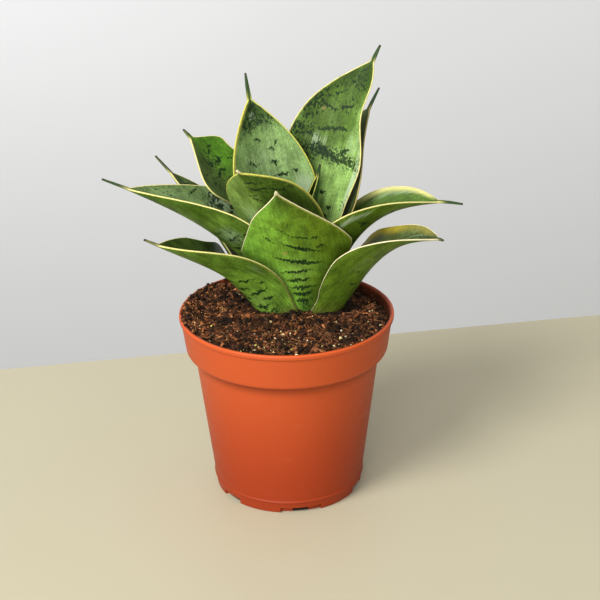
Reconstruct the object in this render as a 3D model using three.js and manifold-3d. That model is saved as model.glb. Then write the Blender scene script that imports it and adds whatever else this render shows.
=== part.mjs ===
// A dwarf snake plant in a round nursery pot. Millimetres, +Z up, the pot standing on z = 0 with its
// axis on the Z axis, and the front of the plant towards -Y.
import * as THREE from 'three';
import Module from 'manifold-3d';

const wasm = await Module();
wasm.setup();

// Clearance between pieces that touch on the real plant
const GAP = 0.3;

// Pot: a moulded shell with a collar, a small lip and a notched foot
const POT_SIDES = 48;
const POT_HEIGHT = 93;
const RIM_RADIUS = 52.5;
const COLLAR_FOOT_RADIUS = 49.6;
const COLLAR_FOOT_Z = 75;
const BODY_TOP_RADIUS = 45.6;
const BODY_TOP_Z = 73.6;
const BASE_RADIUS = 36.8;
const WALL = 1.7;
const FLOOR_UNDER_Z = 3.2;
const FLOOR_TOP_Z = 5.2;
const FOOT_WIDTH = 3.4;
const BEAD_Z = 6.2;
const BEAD_HEIGHT = 0.55;
const NOTCH_COUNT = 6;
const NOTCH_HALF_ANGLES = [16, 9.5];
const FIRST_NOTCH_AZIMUTH = -80.4;
const NOTCH_HEIGHT = 2.9;
const DRAIN_RADIUS = 4;
const DRAIN_CIRCLE_RADIUS = 26;
const DRAIN_SIDES = 12;

// Crown of the plant: where its leaves come out of the soil, behind the pot's middle
const CROWN_X = 7;
const CROWN_Y = 19;
const CROWN_SOIL_Z = 90;
const ROOTED_DEPTH = 9;

// Soil: a filling with a bumpy top, heaped against the rim on the left and low at the back right
const SOIL_SIDES = 48;
const SOIL_RINGS = 7;
const SOIL_MEAN_Z = 89.2;
const SOIL_TILT = 1.9;
const SOIL_LOW_AZIMUTH = 20;
const SOIL_MOUND = 1.6;
const SOIL_MOUND_RADIUS = 24;
const SOIL_BUMP = 0.5;

// Rhizome: the short thick underground stem, flat above, where the leaves stand on it
const RHIZOME_RADIUS = 12.5;
const RHIZOME_DEPTH = 15;
const RHIZOME_SIDES = 24;
const RHIZOME_STEPS = 6;

// Leaf blade: thickness along the midrib and at the margins, and the narrow awl at its tip
const RIB_THICKNESS_FOOT = 2.2;
const RIB_THICKNESS_MID = 1.9;
const RIB_THICKNESS_TIP = 1.1;
const MARGIN_THICKNESS = 0.9;
const AWL_WIDTH = 2.6;
const TIP_WIDTH = 0.8;
const KEEL = 0.3;
const KEEL_SHARPNESS = 4;
const ROOT_ROWS = 1;
const BLADE_ROWS = 11;
const AWL_ROWS = 2;
const ACROSS = 8;
const ROLLED_ACROSS = 12;
const CURVE_SAMPLES = 240;
const BEND_SAMPLES = 48;

const MATERIALS = {
  terracotta_plastic: material(0xb9552c, 0.55),
  soil: material(0x3b2519, 0.95),
  leaf: material(0x4f7d2f, 0.45),
  rhizome: material(0xc8a468, 0.7),
};

// Each leaf: its foot on a ring round the crown [radius, azimuth], its tip [x, y, z], the azimuth its
// outer side faces, its rise in degrees at foot and tip, its full width, how wide it is at the foot,
// where it is widest (all along its length from 0 to 1), how its section curls from foot to middle to
// tip, in degrees, and its twist about its midrib. left and right, seen from outside with the tip up,
// widen or narrow one half: [share of the half, where, how far along it fades].
const LEAVES = {
  leaf_front: {
    foot: [13.2, -84],
    tip: [-3.5, -35, 165.7],
    face: -90,
    rise: [80, 58],
    width: 54,
    atFoot: 0.33,
    widest: 0.42,
    swell: 1.6,
    fall: 1.2,
    awl: 3,
    curl: [74, 44, 26],
    right: [[0.04, 0.42, 0.25]],
    left: [[-0.25, 0.1, 0.18], [0.03, 0.3, 0.12], [0.2, 0.8, 0.15]],
  },
  leaf_front_left_low: {
    foot: [22.5, -141],
    tip: [-65, -20, 138],
    face: -146,
    rise: [60, 32],
    pull: [0.35, 0.45],
    width: 42,
    atFoot: 0.85,
    widest: 0.4,
    awl: 8,
    curl: [100, 100, 80],
    twist: [21, -12],
    right: [[-0.12, 0, 0.14]],
    left: [[0.85, 0.25, 0.13], [0.2, 0.4, 0.1]],
  },
  leaf_front_right_low: {
    foot: [21.5, -33],
    tip: [74, -15, 134],
    face: -36,
    rise: [57, -8],
    width: 44,
    atFoot: 0.75,
    widest: 0.5,
    awl: 3,
    curl: [90, 100, 90],
    twist: [-8, 19],
    twistPower: 0.7,
    right: [[-0.38, 0.75, 0.25], [0.2, 0.4, 0.15], [0.7, 0.2, 0.12]],
    left: [[-0.18, 0, 0.13], [0.2, 0.5, 0.22]],
  },
  leaf_left: {
    foot: [14, 188],
    tip: [-85.5, 0, 161],
    face: 186,
    rise: [68, 26],
    pull: [0.36, 0.4],
    width: 56,
    atFoot: 0.5,
    widest: 0.38,
    swell: 1.2,
    fall: 1.6,
    awl: 14,
    curl: [114, 132, 90],
    twist: [14, -6],
    right: [[-0.6, 0, 0.2], [-0.08, 0.75, 0.2]],
    left: [[-0.12, 0.72, 0.2], [0.05, 0.5, 0.15]],
  },
  leaf_front_left_upper: {
    foot: [9.8, -105],
    tip: [-21, -25, 172.5],
    face: -105,
    rise: [80, 45],
    width: 53,
    atFoot: 0.35,
    widest: 0.55,
    swell: 1.4,
    awl: 3,
    curl: [107, 80, 50],
    right: [[-0.12, 0.62, 0.2], [-0.25, 0, 0.12]],
    left: [[-0.5, 0.15, 0.2], [-0.06, 0.5, 0.15]],
  },
  leaf_tall_left: {
    foot: [4.8, 130],
    tip: [-17.7, 20, 205.7],
    face: 112,
    rise: [86, 85],
    width: 50,
    atFoot: 0.26,
    widest: 0.48,
    swell: 1.25,
    awl: 13,
    curl: [160, 80, 70],
    right: [[-0.42, 0.3, 0.2]],
    left: [[-0.08, 0.6, 0.2], [-0.25, 0.3, 0.16]],
  },
  leaf_tall_right: {
    foot: [7.3, 50],
    tip: [46, 30, 216],
    face: 66,
    rise: [83.5, 65],
    width: 50,
    atFoot: 0.28,
    widest: 0.5,
    swell: 1.5,
    awl: 9,
    curl: [110, 70, 60],
    right: [[0.18, 0.75, 0.2], [-0.55, 0.05, 0.22]],
    left: [[-0.62, 0.76, 0.15], [-0.4, 0.42, 0.2], [-0.4, 0.08, 0.2]],
  },
  leaf_tall_back: {
    foot: [10.8, 40],
    tip: [47, 51, 190],
    face: 42,
    rise: [78, 55],
    width: 40,
    atFoot: 0.44,
    widest: 0.5,
    swell: 1.3,
    awl: 12,
    curl: [95, 80, 70],
    left: [[-0.15, 0.1, 0.2], [0.22, 0.5, 0.2], [-0.3, 0.8, 0.15]],
  },
  leaf_back_left_upper: {
    foot: [9.2, 165],
    tip: [-49, 30, 176],
    face: 136,
    rise: [76, 50],
    width: 46,
    atFoot: 0.32,
    widest: 0.5,
    swell: 1.4,
    awl: 6,
    curl: [90, 80, 70],
    twist: [24, 0],
    twistPower: 0.8,
    right: [[0.46, 0.75, 0.13], [-0.6, 0.15, 0.28], [-0.62, 0.5, 0.15]],
    left: [[-0.35, 0, 0.2], [0.5, 0.88, 0.06], [-0.12, 0.68, 0.12]],
  },
  leaf_back_left_lower: {
    foot: [22, 164],
    tip: [-64.5, 42, 159],
    face: 164,
    rise: [60, 46],
    width: 32,
    atFoot: 0.6,
    widest: 0.4,
    swell: 1.3,
    awl: 12,
    curl: [70, 80, 70],
    right: [[0.1, 0.75, 0.2], [-0.35, 0.45, 0.15]],
    left: [[-0.5, 0.1, 0.3]],
  },
  leaf_right: {
    foot: [13.6, -12],
    tip: [85.5, 10, 143],
    face: -14,
    rise: [76, -8],
    pull: [0.5, 0.45],
    width: 46,
    atFoot: 0.5,
    widest: 0.42,
    swell: 1.3,
    awl: 12,
    curl: [100, 110, 80],
    twist: [-6, 14],
    right: [[-0.42, 0.15, 0.25], [-0.2, 0.65, 0.2]],
    left: [[-0.38, 0.08, 0.14], [0.38, 0.42, 0.16]],
  },
  leaf_back: {
    foot: [22, 108],
    tip: [-24, 51, 138],
    face: 106,
    rise: [74, 22],
    width: 40,
    atFoot: 0.7,
    widest: 0.4,
    awl: 9,
    curl: [85, 90, 80],
    right: [[-0.35, 0.15, 0.3]],
    left: [[-0.42, 0.4, 0.5]],
  },
  leaf_back_right: {
    foot: [16.5, 66],
    tip: [21, 51, 160],
    face: 68,
    rise: [76, 78],
    width: 32,
    atFoot: 0.65,
    widest: 0.45,
    awl: 9,
    curl: [84, 80, 80],
    right: [[-0.35, 0.4, 0.4]],
    left: [[-0.3, 0.3, 0.4]],
  },
  leaf_centre_spear: {
    foot: [1.2, -40],
    tip: [17, 15, 162],
    face: 60,
    rise: [86, 80],
    width: 26,
    atFoot: 0.5,
    widest: 0.4,
    awl: 6,
    curl: [290, 290, 200],
    across: ROLLED_ACROSS,
  },
};

function material(colour, roughness) {
  return new THREE.MeshStandardMaterial({ color: colour, roughness, metalness: 0 });
}

function radians(degrees) {
  return degrees * Math.PI / 180;
}

function clamp01(value) {
  return Math.min(1, Math.max(0, value));
}

function mix(a, b, share) {
  return a + (b - a) * share;
}

// Closed meshes as manifold bodies, and back

function bodyFromArrays(positions, triangles) {
  const mesh = new wasm.Mesh({
    numProp: 3,
    vertProperties: new Float32Array(positions),
    triVerts: new Uint32Array(triangles),
  });
  return new wasm.Manifold(mesh);
}

function largestPiece(body) {
  const pieces = body.decompose();
  return pieces.reduce((best, piece) => (piece.volume() > best.volume() ? piece : best));
}

function meshFromBody(name, body, look) {
  const mesh = body.getMesh();
  const geometry = new THREE.BufferGeometry();
  geometry.setAttribute('position', new THREE.Float32BufferAttribute(mesh.vertProperties, 3));
  geometry.setIndex(Array.from(mesh.triVerts));
  geometry.computeVertexNormals();
  const node = new THREE.Mesh(geometry, look);
  node.name = name;
  return node;
}

// Round body from rings of points: ring i of the list holds the points round the axis at one step of
// its outline, the first and last steps being single points on the axis.
function roundBody(rings, sides) {
  const positions = [];
  rings.forEach((ring) => ring.forEach((point) => positions.push(...point)));
  const last = rings.length - 1;
  const first = rings.slice(0, last + 1).map((ring, i) => (
    rings.slice(0, i).reduce((sum, before) => sum + before.length, 0)
  ));
  const triangles = [];
  for (let j = 0; j < sides; j += 1) {
    const k = (j + 1) % sides;
    triangles.push(first[0], first[1] + k, first[1] + j);
    for (let i = 1; i < last - 1; i += 1) {
      const a = first[i] + j;
      const b = first[i] + k;
      const c = first[i + 1] + j;
      const d = first[i + 1] + k;
      triangles.push(a, b, d, a, d, c);
    }
    triangles.push(first[last - 1] + j, first[last - 1] + k, first[last]);
  }
  return bodyFromArrays(positions, triangles);
}

// Turned body whose outline [radius, z] runs from the axis below, up the outside, to the axis above
function turnedBody(outline, sides, centreX = 0, centreY = 0, phase = 0) {
  const rings = outline.map(([radius, z], i) => {
    if (i === 0 || i === outline.length - 1) {
      return [[centreX, centreY, z]];
    }
    return Array.from({ length: sides }, (_, j) => {
      const angle = phase + 2 * Math.PI * j / sides;
      return [centreX + radius * Math.cos(angle), centreY + radius * Math.sin(angle), z];
    });
  });
  return roundBody(rings, sides);
}

// Pot

function bodyRadiusAt(z) {
  return mix(BASE_RADIUS, BODY_TOP_RADIUS, z / BODY_TOP_Z);
}

function collarRadiusAt(z) {
  return mix(COLLAR_FOOT_RADIUS, RIM_RADIUS, (z - COLLAR_FOOT_Z) / (POT_HEIGHT - COLLAR_FOOT_Z));
}

function potInside(clearance) {
  const ledgeZ = COLLAR_FOOT_Z - 1.2;
  const wall = WALL + clearance;
  return [
    [bodyRadiusAt(FLOOR_TOP_Z) - wall - 1, FLOOR_TOP_Z + clearance],
    [bodyRadiusAt(FLOOR_TOP_Z + 1) - wall, FLOOR_TOP_Z + 1 + clearance],
    [bodyRadiusAt(ledgeZ) - wall, ledgeZ + clearance],
    [collarRadiusAt(COLLAR_FOOT_Z + 1.6) - wall, COLLAR_FOOT_Z + 1.6 + clearance],
  ];
}

function potShell() {
  const beadLow = BEAD_Z - 0.9;
  const beadHigh = BEAD_Z + 0.9;
  const lip = RIM_RADIUS;
  const outline = [
    [0, 0],
    [BASE_RADIUS - 0.5, 0],
    [BASE_RADIUS, 0.6],
    [bodyRadiusAt(beadLow), beadLow],
    [bodyRadiusAt(BEAD_Z) + BEAD_HEIGHT, BEAD_Z],
    [bodyRadiusAt(beadHigh), beadHigh],
    [BODY_TOP_RADIUS - 0.1, BODY_TOP_Z - 1],
    [BODY_TOP_RADIUS + 0.6, BODY_TOP_Z],
    [COLLAR_FOOT_RADIUS - 1, BODY_TOP_Z + 0.5],
    [COLLAR_FOOT_RADIUS, COLLAR_FOOT_Z + 0.4],
    [collarRadiusAt(POT_HEIGHT - 3.2), POT_HEIGHT - 3.2],
    [lip - 0.1, POT_HEIGHT - 2.4],
    [lip, POT_HEIGHT - 1],
    [lip - 0.5, POT_HEIGHT - 0.2],
    [lip - 1.1, POT_HEIGHT],
    [lip - 1.7, POT_HEIGHT - 0.3],
    [lip - 2.1, POT_HEIGHT - 1.2],
    ...potInside(0).reverse(),
    [0, FLOOR_TOP_Z],
  ];
  return turnedBody(outline, POT_SIDES);
}

function footRecess() {
  const radius = BASE_RADIUS - FOOT_WIDTH;
  return turnedBody([[0, -1], [radius, -1], [radius, FLOOR_UNDER_Z], [0, FLOOR_UNDER_Z]], POT_SIDES);
}

// One notch through the foot: a wedge of four corners seen from above
function footNotch(azimuth, halfAngle) {
  const near = BASE_RADIUS - FOOT_WIDTH - 1;
  const far = BASE_RADIUS + 3;
  const corners = [[near, -1], [far, -1], [far, 1], [near, 1]].map(([radius, side]) => {
    const angle = radians(azimuth + side * halfAngle);
    return [radius * Math.cos(angle), radius * Math.sin(angle)];
  });
  const positions = [-1, NOTCH_HEIGHT].flatMap((z) => corners.flatMap(([x, y]) => [x, y, z]));
  const triangles = [0, 2, 1, 0, 3, 2, 4, 5, 6, 4, 6, 7];
  for (let j = 0; j < 4; j += 1) {
    const k = (j + 1) % 4;
    triangles.push(j, k, k + 4, j, k + 4, j + 4);
  }
  return bodyFromArrays(positions, triangles);
}

function drainHole(azimuth) {
  const angle = radians(azimuth);
  const x = DRAIN_CIRCLE_RADIUS * Math.cos(angle);
  const y = DRAIN_CIRCLE_RADIUS * Math.sin(angle);
  const outline = [[0, 0], [DRAIN_RADIUS, 0], [DRAIN_RADIUS, FLOOR_TOP_Z + 2], [0, FLOOR_TOP_Z + 2]];
  return turnedBody(outline, DRAIN_SIDES, x, y);
}

// Wide and narrow notches take turns round the foot, with a drain hole inward of each
function pot() {
  let body = potShell().subtract(footRecess());
  for (let i = 0; i < NOTCH_COUNT; i += 1) {
    const azimuth = FIRST_NOTCH_AZIMUTH + 360 * i / NOTCH_COUNT;
    const halfAngle = NOTCH_HALF_ANGLES[i % NOTCH_HALF_ANGLES.length];
    body = body.subtract(footNotch(azimuth, halfAngle)).subtract(drainHole(azimuth));
  }
  return meshFromBody('pot', body, MATERIALS.terracotta_plastic);
}

// Leaves

// Full width of the flattened blade at share s of its length
function bladeWidth(leaf, s, length) {
  const awlStart = 1 - leaf.awl / length;
  if (s < leaf.widest) {
    const rising = Math.sin(Math.PI / 2 * s / leaf.widest) ** (leaf.swell ?? 1);
    return leaf.width * mix(leaf.atFoot, 1, rising);
  }
  if (s < awlStart) {
    const falling = ((s - leaf.widest) / (awlStart - leaf.widest)) ** (leaf.fall ?? 2);
    return mix(leaf.width, AWL_WIDTH, falling);
  }
  const k = clamp01((s - awlStart) / (1 - awlStart));
  return AWL_WIDTH * (1 - k) ** 0.8 + TIP_WIDTH * k;
}

function halfWidthFactor(edges, s) {
  return edges.reduce((sum, [share, where, fade]) => (
    sum + share * Math.exp(-(((s - where) / fade) ** 2))
  ), 1);
}

function curlAt([foot, middle, tip], s) {
  if (s < 0.5) {
    return mix(foot, middle, 0.5 - 0.5 * Math.cos(2 * Math.PI * s));
  }
  return mix(middle, tip, 1 - Math.cos(Math.PI * (s - 0.5)));
}

// Half of a curled section of half width 1: how far it lies aside and inwards, and its slope, at u
function curledHalf(curl, u) {
  const slope = (v) => radians(curl) / 2
    * ((1 - KEEL) * v + KEEL * Math.tanh(KEEL_SHARPNESS * v) / Math.tanh(KEEL_SHARPNESS));
  let aside = 0;
  let inward = 0;
  for (let i = 0; i < BEND_SAMPLES; i += 1) {
    const v = u * (i + 0.5) / BEND_SAMPLES;
    aside += Math.cos(slope(v)) * u / BEND_SAMPLES;
    inward += Math.sin(slope(v)) * u / BEND_SAMPLES;
  }
  return { aside, inward, slope: slope(u) };
}

function direction(azimuth, rise) {
  return new THREE.Vector3(
    Math.cos(rise) * Math.cos(azimuth),
    Math.cos(rise) * Math.sin(azimuth),
    Math.sin(rise),
  );
}

// Midrib: a curve from the foot to the tip, with a rooted stretch that turns upright under the soil
function midrib(leaf) {
  const [radius, azimuth] = leaf.foot;
  const foot = new THREE.Vector3(
    CROWN_X + radius * Math.cos(radians(azimuth)),
    CROWN_Y + radius * Math.sin(radians(azimuth)),
    CROWN_SOIL_Z,
  );
  const tip = new THREE.Vector3(...leaf.tip);
  const chord = tip.clone().sub(foot);
  const heading = Math.atan2(chord.y, chord.x);
  const [footRise, tipRise] = leaf.rise.map(radians);
  const [footPull, tipPull] = leaf.pull ?? [0.4, 0.35];
  const curve = new THREE.CubicBezierCurve3(
    foot,
    foot.clone().addScaledVector(direction(heading, footRise), chord.length() * footPull),
    tip.clone().addScaledVector(direction(heading, tipRise), -chord.length() * tipPull),
    tip,
  );
  curve.arcLengthDivisions = CURVE_SAMPLES;
  return { curve, foot, heading, footRise, length: curve.getLength() };
}

// Point and heading of the midrib at a distance along it, which is negative below the soil
function alongMidrib(rib, distance) {
  if (distance >= 0) {
    const share = clamp01(distance / rib.length);
    return { point: rib.curve.getPointAt(share), tangent: rib.curve.getTangentAt(share) };
  }
  const upright = Math.PI / 2 - rib.footRise;
  const depthShare = -distance / ROOTED_DEPTH;
  const reach = ROOTED_DEPTH * upright / Math.cos(rib.footRise);
  const point = rib.foot.clone();
  const steps = Math.ceil(BEND_SAMPLES * depthShare);
  for (let i = 0; i < steps; i += 1) {
    const rise = rib.footRise + upright * depthShare * (i + 0.5) / steps;
    point.addScaledVector(direction(rib.heading, rise), -reach * depthShare / steps);
  }
  return { point, tangent: direction(rib.heading, rib.footRise + upright * depthShare) };
}

// Axes of the section at one point: across the blade, and from its outer to its inner side
function sectionAxes(leaf, tangent, s) {
  const face = radians(leaf.face);
  const aside = new THREE.Vector3(-Math.sin(face), Math.cos(face), 0);
  const across = aside.addScaledVector(tangent, -aside.dot(tangent)).normalize();
  const inner = tangent.clone().cross(across);
  const [footTwist, tipTwist] = leaf.twist ?? [0, 0];
  const twist = radians(mix(footTwist, tipTwist, s ** (leaf.twistPower ?? 1)));
  return {
    across: across.clone().multiplyScalar(Math.cos(twist)).addScaledVector(inner, Math.sin(twist)),
    inner: inner.clone().multiplyScalar(Math.cos(twist)).addScaledVector(across, -Math.sin(twist)),
  };
}

function bladeThickness(s, u) {
  const rib = s < 0.5
    ? mix(RIB_THICKNESS_FOOT, RIB_THICKNESS_MID, 2 * s)
    : mix(RIB_THICKNESS_MID, RIB_THICKNESS_TIP, 2 * s - 1);
  return mix(rib, MARGIN_THICKNESS, u * u);
}

// Distances along the midrib of the rows of points, closer together in the awl
function rowDistances(leaf, length, depth) {
  const rows = [];
  for (let i = 0; i < ROOT_ROWS; i += 1) {
    rows.push(-depth * (1 - i / ROOT_ROWS));
  }
  const blade = length - leaf.awl;
  for (let i = 0; i <= BLADE_ROWS; i += 1) {
    rows.push(blade * i / BLADE_ROWS);
  }
  for (let i = 1; i <= AWL_ROWS; i += 1) {
    rows.push(blade + leaf.awl * i / AWL_ROWS);
  }
  return rows;
}

// Closed body of a blade, its outer and inner faces split into the same triangles. swell makes it
// thicker and wider all round, for the hole that it stands in.
function leafBody(leaf, swell = 0) {
  const rib = midrib(leaf);
  const across = leaf.across ?? ACROSS;
  const distances = rowDistances(leaf, rib.length, ROOTED_DEPTH + swell);
  const sides = { outer: [], inner: [] };
  distances.forEach((distance) => {
    const s = clamp01(distance / rib.length);
    const { point, tangent } = alongMidrib(rib, distance);
    const axes = sectionAxes(leaf, tangent, s);
    const half = bladeWidth(leaf, s, rib.length) / 2;
    const curl = curlAt(leaf.curl, s);
    for (let j = 0; j <= across; j += 1) {
      const u = 2 * j / across - 1;
      const edges = (u > 0 ? leaf.right : leaf.left) ?? [];
      const reach = half * halfWidthFactor(edges, s) + swell;
      const bend = curledHalf(curl, Math.abs(u));
      const side = Math.sign(u);
      const centre = point.clone()
        .addScaledVector(axes.across, side * bend.aside * reach)
        .addScaledVector(axes.inner, bend.inward * reach);
      const normal = axes.inner.clone().multiplyScalar(Math.cos(bend.slope))
        .addScaledVector(axes.across, -side * Math.sin(bend.slope));
      const offset = bladeThickness(s, u) / 2 + swell;
      sides.outer.push(centre.clone().addScaledVector(normal, -offset));
      sides.inner.push(centre.clone().addScaledVector(normal, offset));
    }
  });
  return bladeBody(sides, distances.length, across + 1);
}

function bladeBody({ outer, inner }, rows, columns) {
  const positions = [...outer, ...inner].flatMap((point) => point.toArray());
  const innerStart = outer.length;
  const triangles = [];
  const quad = (a, b, c, d) => triangles.push(a, b, c, a, c, d);
  for (let i = 0; i < rows - 1; i += 1) {
    const low = i * columns;
    const high = low + columns;
    for (let j = 0; j < columns - 1; j += 1) {
      quad(low + j, low + j + 1, high + j + 1, high + j);
      triangles.push(innerStart + low + j, innerStart + high + j + 1, innerStart + low + j + 1);
      triangles.push(innerStart + low + j, innerStart + high + j, innerStart + high + j + 1);
    }
    const end = columns - 1;
    quad(low, high, innerStart + high, innerStart + low);
    quad(low + end, innerStart + low + end, innerStart + high + end, high + end);
  }
  const top = (rows - 1) * columns;
  for (let j = 0; j < columns - 1; j += 1) {
    quad(j, innerStart + j, innerStart + j + 1, j + 1);
    quad(top + j, top + j + 1, innerStart + top + j + 1, innerStart + top + j);
  }
  return bodyFromArrays(positions, triangles);
}

// Rhizome

function rhizomeBody(swell = 0) {
  const topZ = CROWN_SOIL_Z - ROOTED_DEPTH - GAP + swell;
  const radius = RHIZOME_RADIUS + swell;
  const outline = [[0, topZ - RHIZOME_DEPTH - swell]];
  for (let i = 1; i < RHIZOME_STEPS; i += 1) {
    const angle = Math.PI / 2 * i / RHIZOME_STEPS;
    const drop = (RHIZOME_DEPTH + swell) * (0.25 + 0.75 * Math.cos(angle));
    outline.push([radius * Math.sin(angle), topZ - drop]);
  }
  outline.push([radius, topZ - RHIZOME_DEPTH * 0.25]);
  outline.push([radius, topZ - 1.5]);
  outline.push([radius - 1, topZ]);
  outline.push([0, topZ]);
  return turnedBody(outline, RHIZOME_SIDES, CROWN_X, CROWN_Y, Math.PI / RHIZOME_SIDES);
}

// Soil

function soilHeight(x, y) {
  const low = radians(SOIL_LOW_AZIMUTH);
  const tilt = -SOIL_TILT * (x * Math.cos(low) + y * Math.sin(low)) / RIM_RADIUS;
  const fromCrown = Math.hypot(x - CROWN_X, y - CROWN_Y) / SOIL_MOUND_RADIUS;
  const mound = SOIL_MOUND * Math.exp(-(fromCrown ** 4));
  const bumps = Math.sin(0.31 * x + 1.3) * Math.sin(0.27 * y - 0.4)
    + 0.7 * Math.sin(0.53 * y + 0.22 * x) * Math.cos(0.47 * x - 0.9);
  return SOIL_MEAN_Z + tilt + mound + SOIL_BUMP * bumps;
}

function soilBody() {
  const inside = potInside(GAP);
  const ring = (radius, height) => Array.from({ length: SOIL_SIDES }, (_, j) => {
    const angle = 2 * Math.PI * j / SOIL_SIDES;
    const x = radius * Math.cos(angle);
    const y = radius * Math.sin(angle);
    return [x, y, height ?? soilHeight(x, y)];
  });
  const edgeRadius = collarRadiusAt(SOIL_MEAN_Z - 2.5) - WALL - GAP;
  const rings = [[[0, 0, FLOOR_TOP_Z + GAP]]];
  inside.forEach(([radius, z]) => rings.push(ring(radius, z)));
  for (let i = SOIL_RINGS; i > 0; i -= 1) {
    rings.push(ring(edgeRadius * i / SOIL_RINGS));
  }
  rings.push([[0, 0, soilHeight(0, 0)]]);
  return roundBody(rings, SOIL_SIDES);
}

function soil() {
  let body = soilBody().subtract(rhizomeBody(GAP));
  Object.values(LEAVES).forEach((leaf) => {
    body = body.subtract(leafBody(leaf, GAP));
  });
  return meshFromBody('soil', largestPiece(body), MATERIALS.soil);
}

const group = new THREE.Group();
group.name = 'potted_snake_plant';
group.add(pot());
group.add(soil());
group.add(meshFromBody('rhizome', rhizomeBody(), MATERIALS.rhizome));
Object.entries(LEAVES).forEach(([name, leaf]) => {
  group.add(meshFromBody(name, leafBody(leaf), MATERIALS.leaf));
});

export default group;
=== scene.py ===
"""Dwarf snake plant in a terracotta-coloured nursery pot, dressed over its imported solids."""
import math
import random

import bmesh
import bpy
import numpy as np
from mathutils import Matrix, Vector, noise
from mathutils.kdtree import KDTree


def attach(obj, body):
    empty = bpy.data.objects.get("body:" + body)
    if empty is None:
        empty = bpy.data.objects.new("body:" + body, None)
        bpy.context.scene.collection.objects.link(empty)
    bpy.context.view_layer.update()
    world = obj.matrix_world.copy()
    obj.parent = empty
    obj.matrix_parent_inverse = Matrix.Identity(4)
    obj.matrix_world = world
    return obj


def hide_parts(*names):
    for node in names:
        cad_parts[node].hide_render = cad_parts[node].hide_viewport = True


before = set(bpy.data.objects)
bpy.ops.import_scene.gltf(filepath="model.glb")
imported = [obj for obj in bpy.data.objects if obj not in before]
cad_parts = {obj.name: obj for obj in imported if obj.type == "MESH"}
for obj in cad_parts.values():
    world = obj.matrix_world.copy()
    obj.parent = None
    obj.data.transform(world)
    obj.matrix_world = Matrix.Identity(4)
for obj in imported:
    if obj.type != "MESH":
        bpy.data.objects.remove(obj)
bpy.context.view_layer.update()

MM = 0.001
SEED = 11

# The plant's sizes in millimetres, as in the solids
CROWN = (7.0, 19.0)
CROWN_SOIL_Z = 90.0
ROOTED_DEPTH = 9.0
POT_HEIGHT = 93.0
RIM_RADIUS = 52.5
COLLAR_FOOT_RADIUS = 49.6
COLLAR_FOOT_Z = 75.0
COLLAR_INSIDE_Z = COLLAR_FOOT_Z + 1.6
BODY_INSIDE_Z = COLLAR_FOOT_Z - 1.2
BODY_TOP_RADIUS = 45.6
BODY_TOP_Z = 73.6
BASE_RADIUS = 36.8
WALL = 1.7
FLOOR_UNDER_Z = 3.2
FLOOR_TOP_Z = 5.2
FOOT_WIDTH = 3.4
BEAD_Z = 6.2
BEAD_HEIGHT = 0.5
BEAD_HALF_WIDTH = 0.8
NOTCH_COUNT = 6
FIRST_NOTCH_AZIMUTH = -80.4
NOTCH_HALF_ANGLES = (16.0, 9.5)
GAP_HALF_ANGLES = (6.5, 8.0)
NOTCH_HEIGHT = 2.9
DRAIN_RADIUS = 4.0
DRAIN_CIRCLE_RADIUS = 26.0
POT_SIDES = 192
DRAIN_SIDES = 40

# Camera, in millimetres and degrees: it looks along +Y and down at the rim's centre, shifted a little
CAMERA_DISTANCE = 652.0
CAMERA_PITCH = 23.5
CAMERA_ROLL = -0.67
CAMERA_SHIFT = (6.6, 4.7)
CAMERA_LENS = 80
CAMERA_SENSOR = 36

# Stage, in metres: the table's far edge crosses the view aslant, with a wall well behind it
TABLE_HALF_WIDTH = 2.2
TABLE_NEAR_Y = -2.2
TABLE_FAR_Y = (-0.252, 0.568)
TABLE_THICKNESS = 0.03
BACKDROP_HALF_WIDTH = 3
BACKDROP_Y = 1.5
BACKDROP_Z = (-1.5, 2.5)

# Lights: place, target and diameter in metres, power in watts, colour
LIGHTS = {
    "key": ((-0.97, -1.03, 1.38), (0, 0, 0.1), 0.88, 39, (1.0, 0.975, 0.94)),
    "front_fill": ((-0.38, -1.86, 0.55), (0, 0, 0.1), 1.1, 25, (1.0, 0.98, 0.95)),
    "wall_wash": ((-0.6, 0.95, 0.36), (-0.5, 1.5, -0.4), 0.6, 1.15, (0.97, 0.985, 1.0)),
}
WORLD_COLOUR = (1.0, 0.975, 0.92, 1)
WORLD_STRENGTH = 0.5


def between(a, b, share):
    return a + (b - a) * share


# ---------------------------------------------------------------- camera and meshes

def add_camera():
    pitch = math.radians(CAMERA_PITCH)
    roll = math.radians(CAMERA_ROLL)
    forward = Vector((0, math.cos(pitch), -math.sin(pitch)))
    right = Vector((1, 0, 0))
    up = right.cross(forward)
    across = right * math.cos(roll) + up * math.sin(roll)
    over = -right * math.sin(roll) + up * math.cos(roll)
    eye = Vector((0, 0, POT_HEIGHT)) - forward * CAMERA_DISTANCE
    eye += across * CAMERA_SHIFT[0] + over * CAMERA_SHIFT[1]
    data = bpy.data.cameras.new("camera")
    data.lens = CAMERA_LENS
    data.sensor_width = CAMERA_SENSOR
    data.clip_start = 0.01
    camera = bpy.data.objects.new("camera", data)
    turn = Matrix((across, over, -forward)).transposed().to_4x4()
    camera.matrix_world = Matrix.Translation(eye * MM) @ turn
    bpy.context.scene.collection.objects.link(camera)
    bpy.context.scene.camera = camera


def mesh_object(name, vertices, faces, material=None, smooth=True):
    mesh = bpy.data.meshes.new(name)
    mesh.from_pydata(vertices, [], faces)
    mesh.update()
    if smooth:
        mesh.polygons.foreach_set("use_smooth", [True] * len(mesh.polygons))
    if material:
        mesh.materials.append(material)
    obj = bpy.data.objects.new(name, mesh)
    bpy.context.scene.collection.objects.link(obj)
    return obj


def keep_tint(obj, tints):
    """A number for each point, from which its material chooses among its browns."""
    layer = obj.data.attributes.new("tint", "FLOAT", "POINT")
    layer.data.foreach_set("value", tints)


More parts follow.
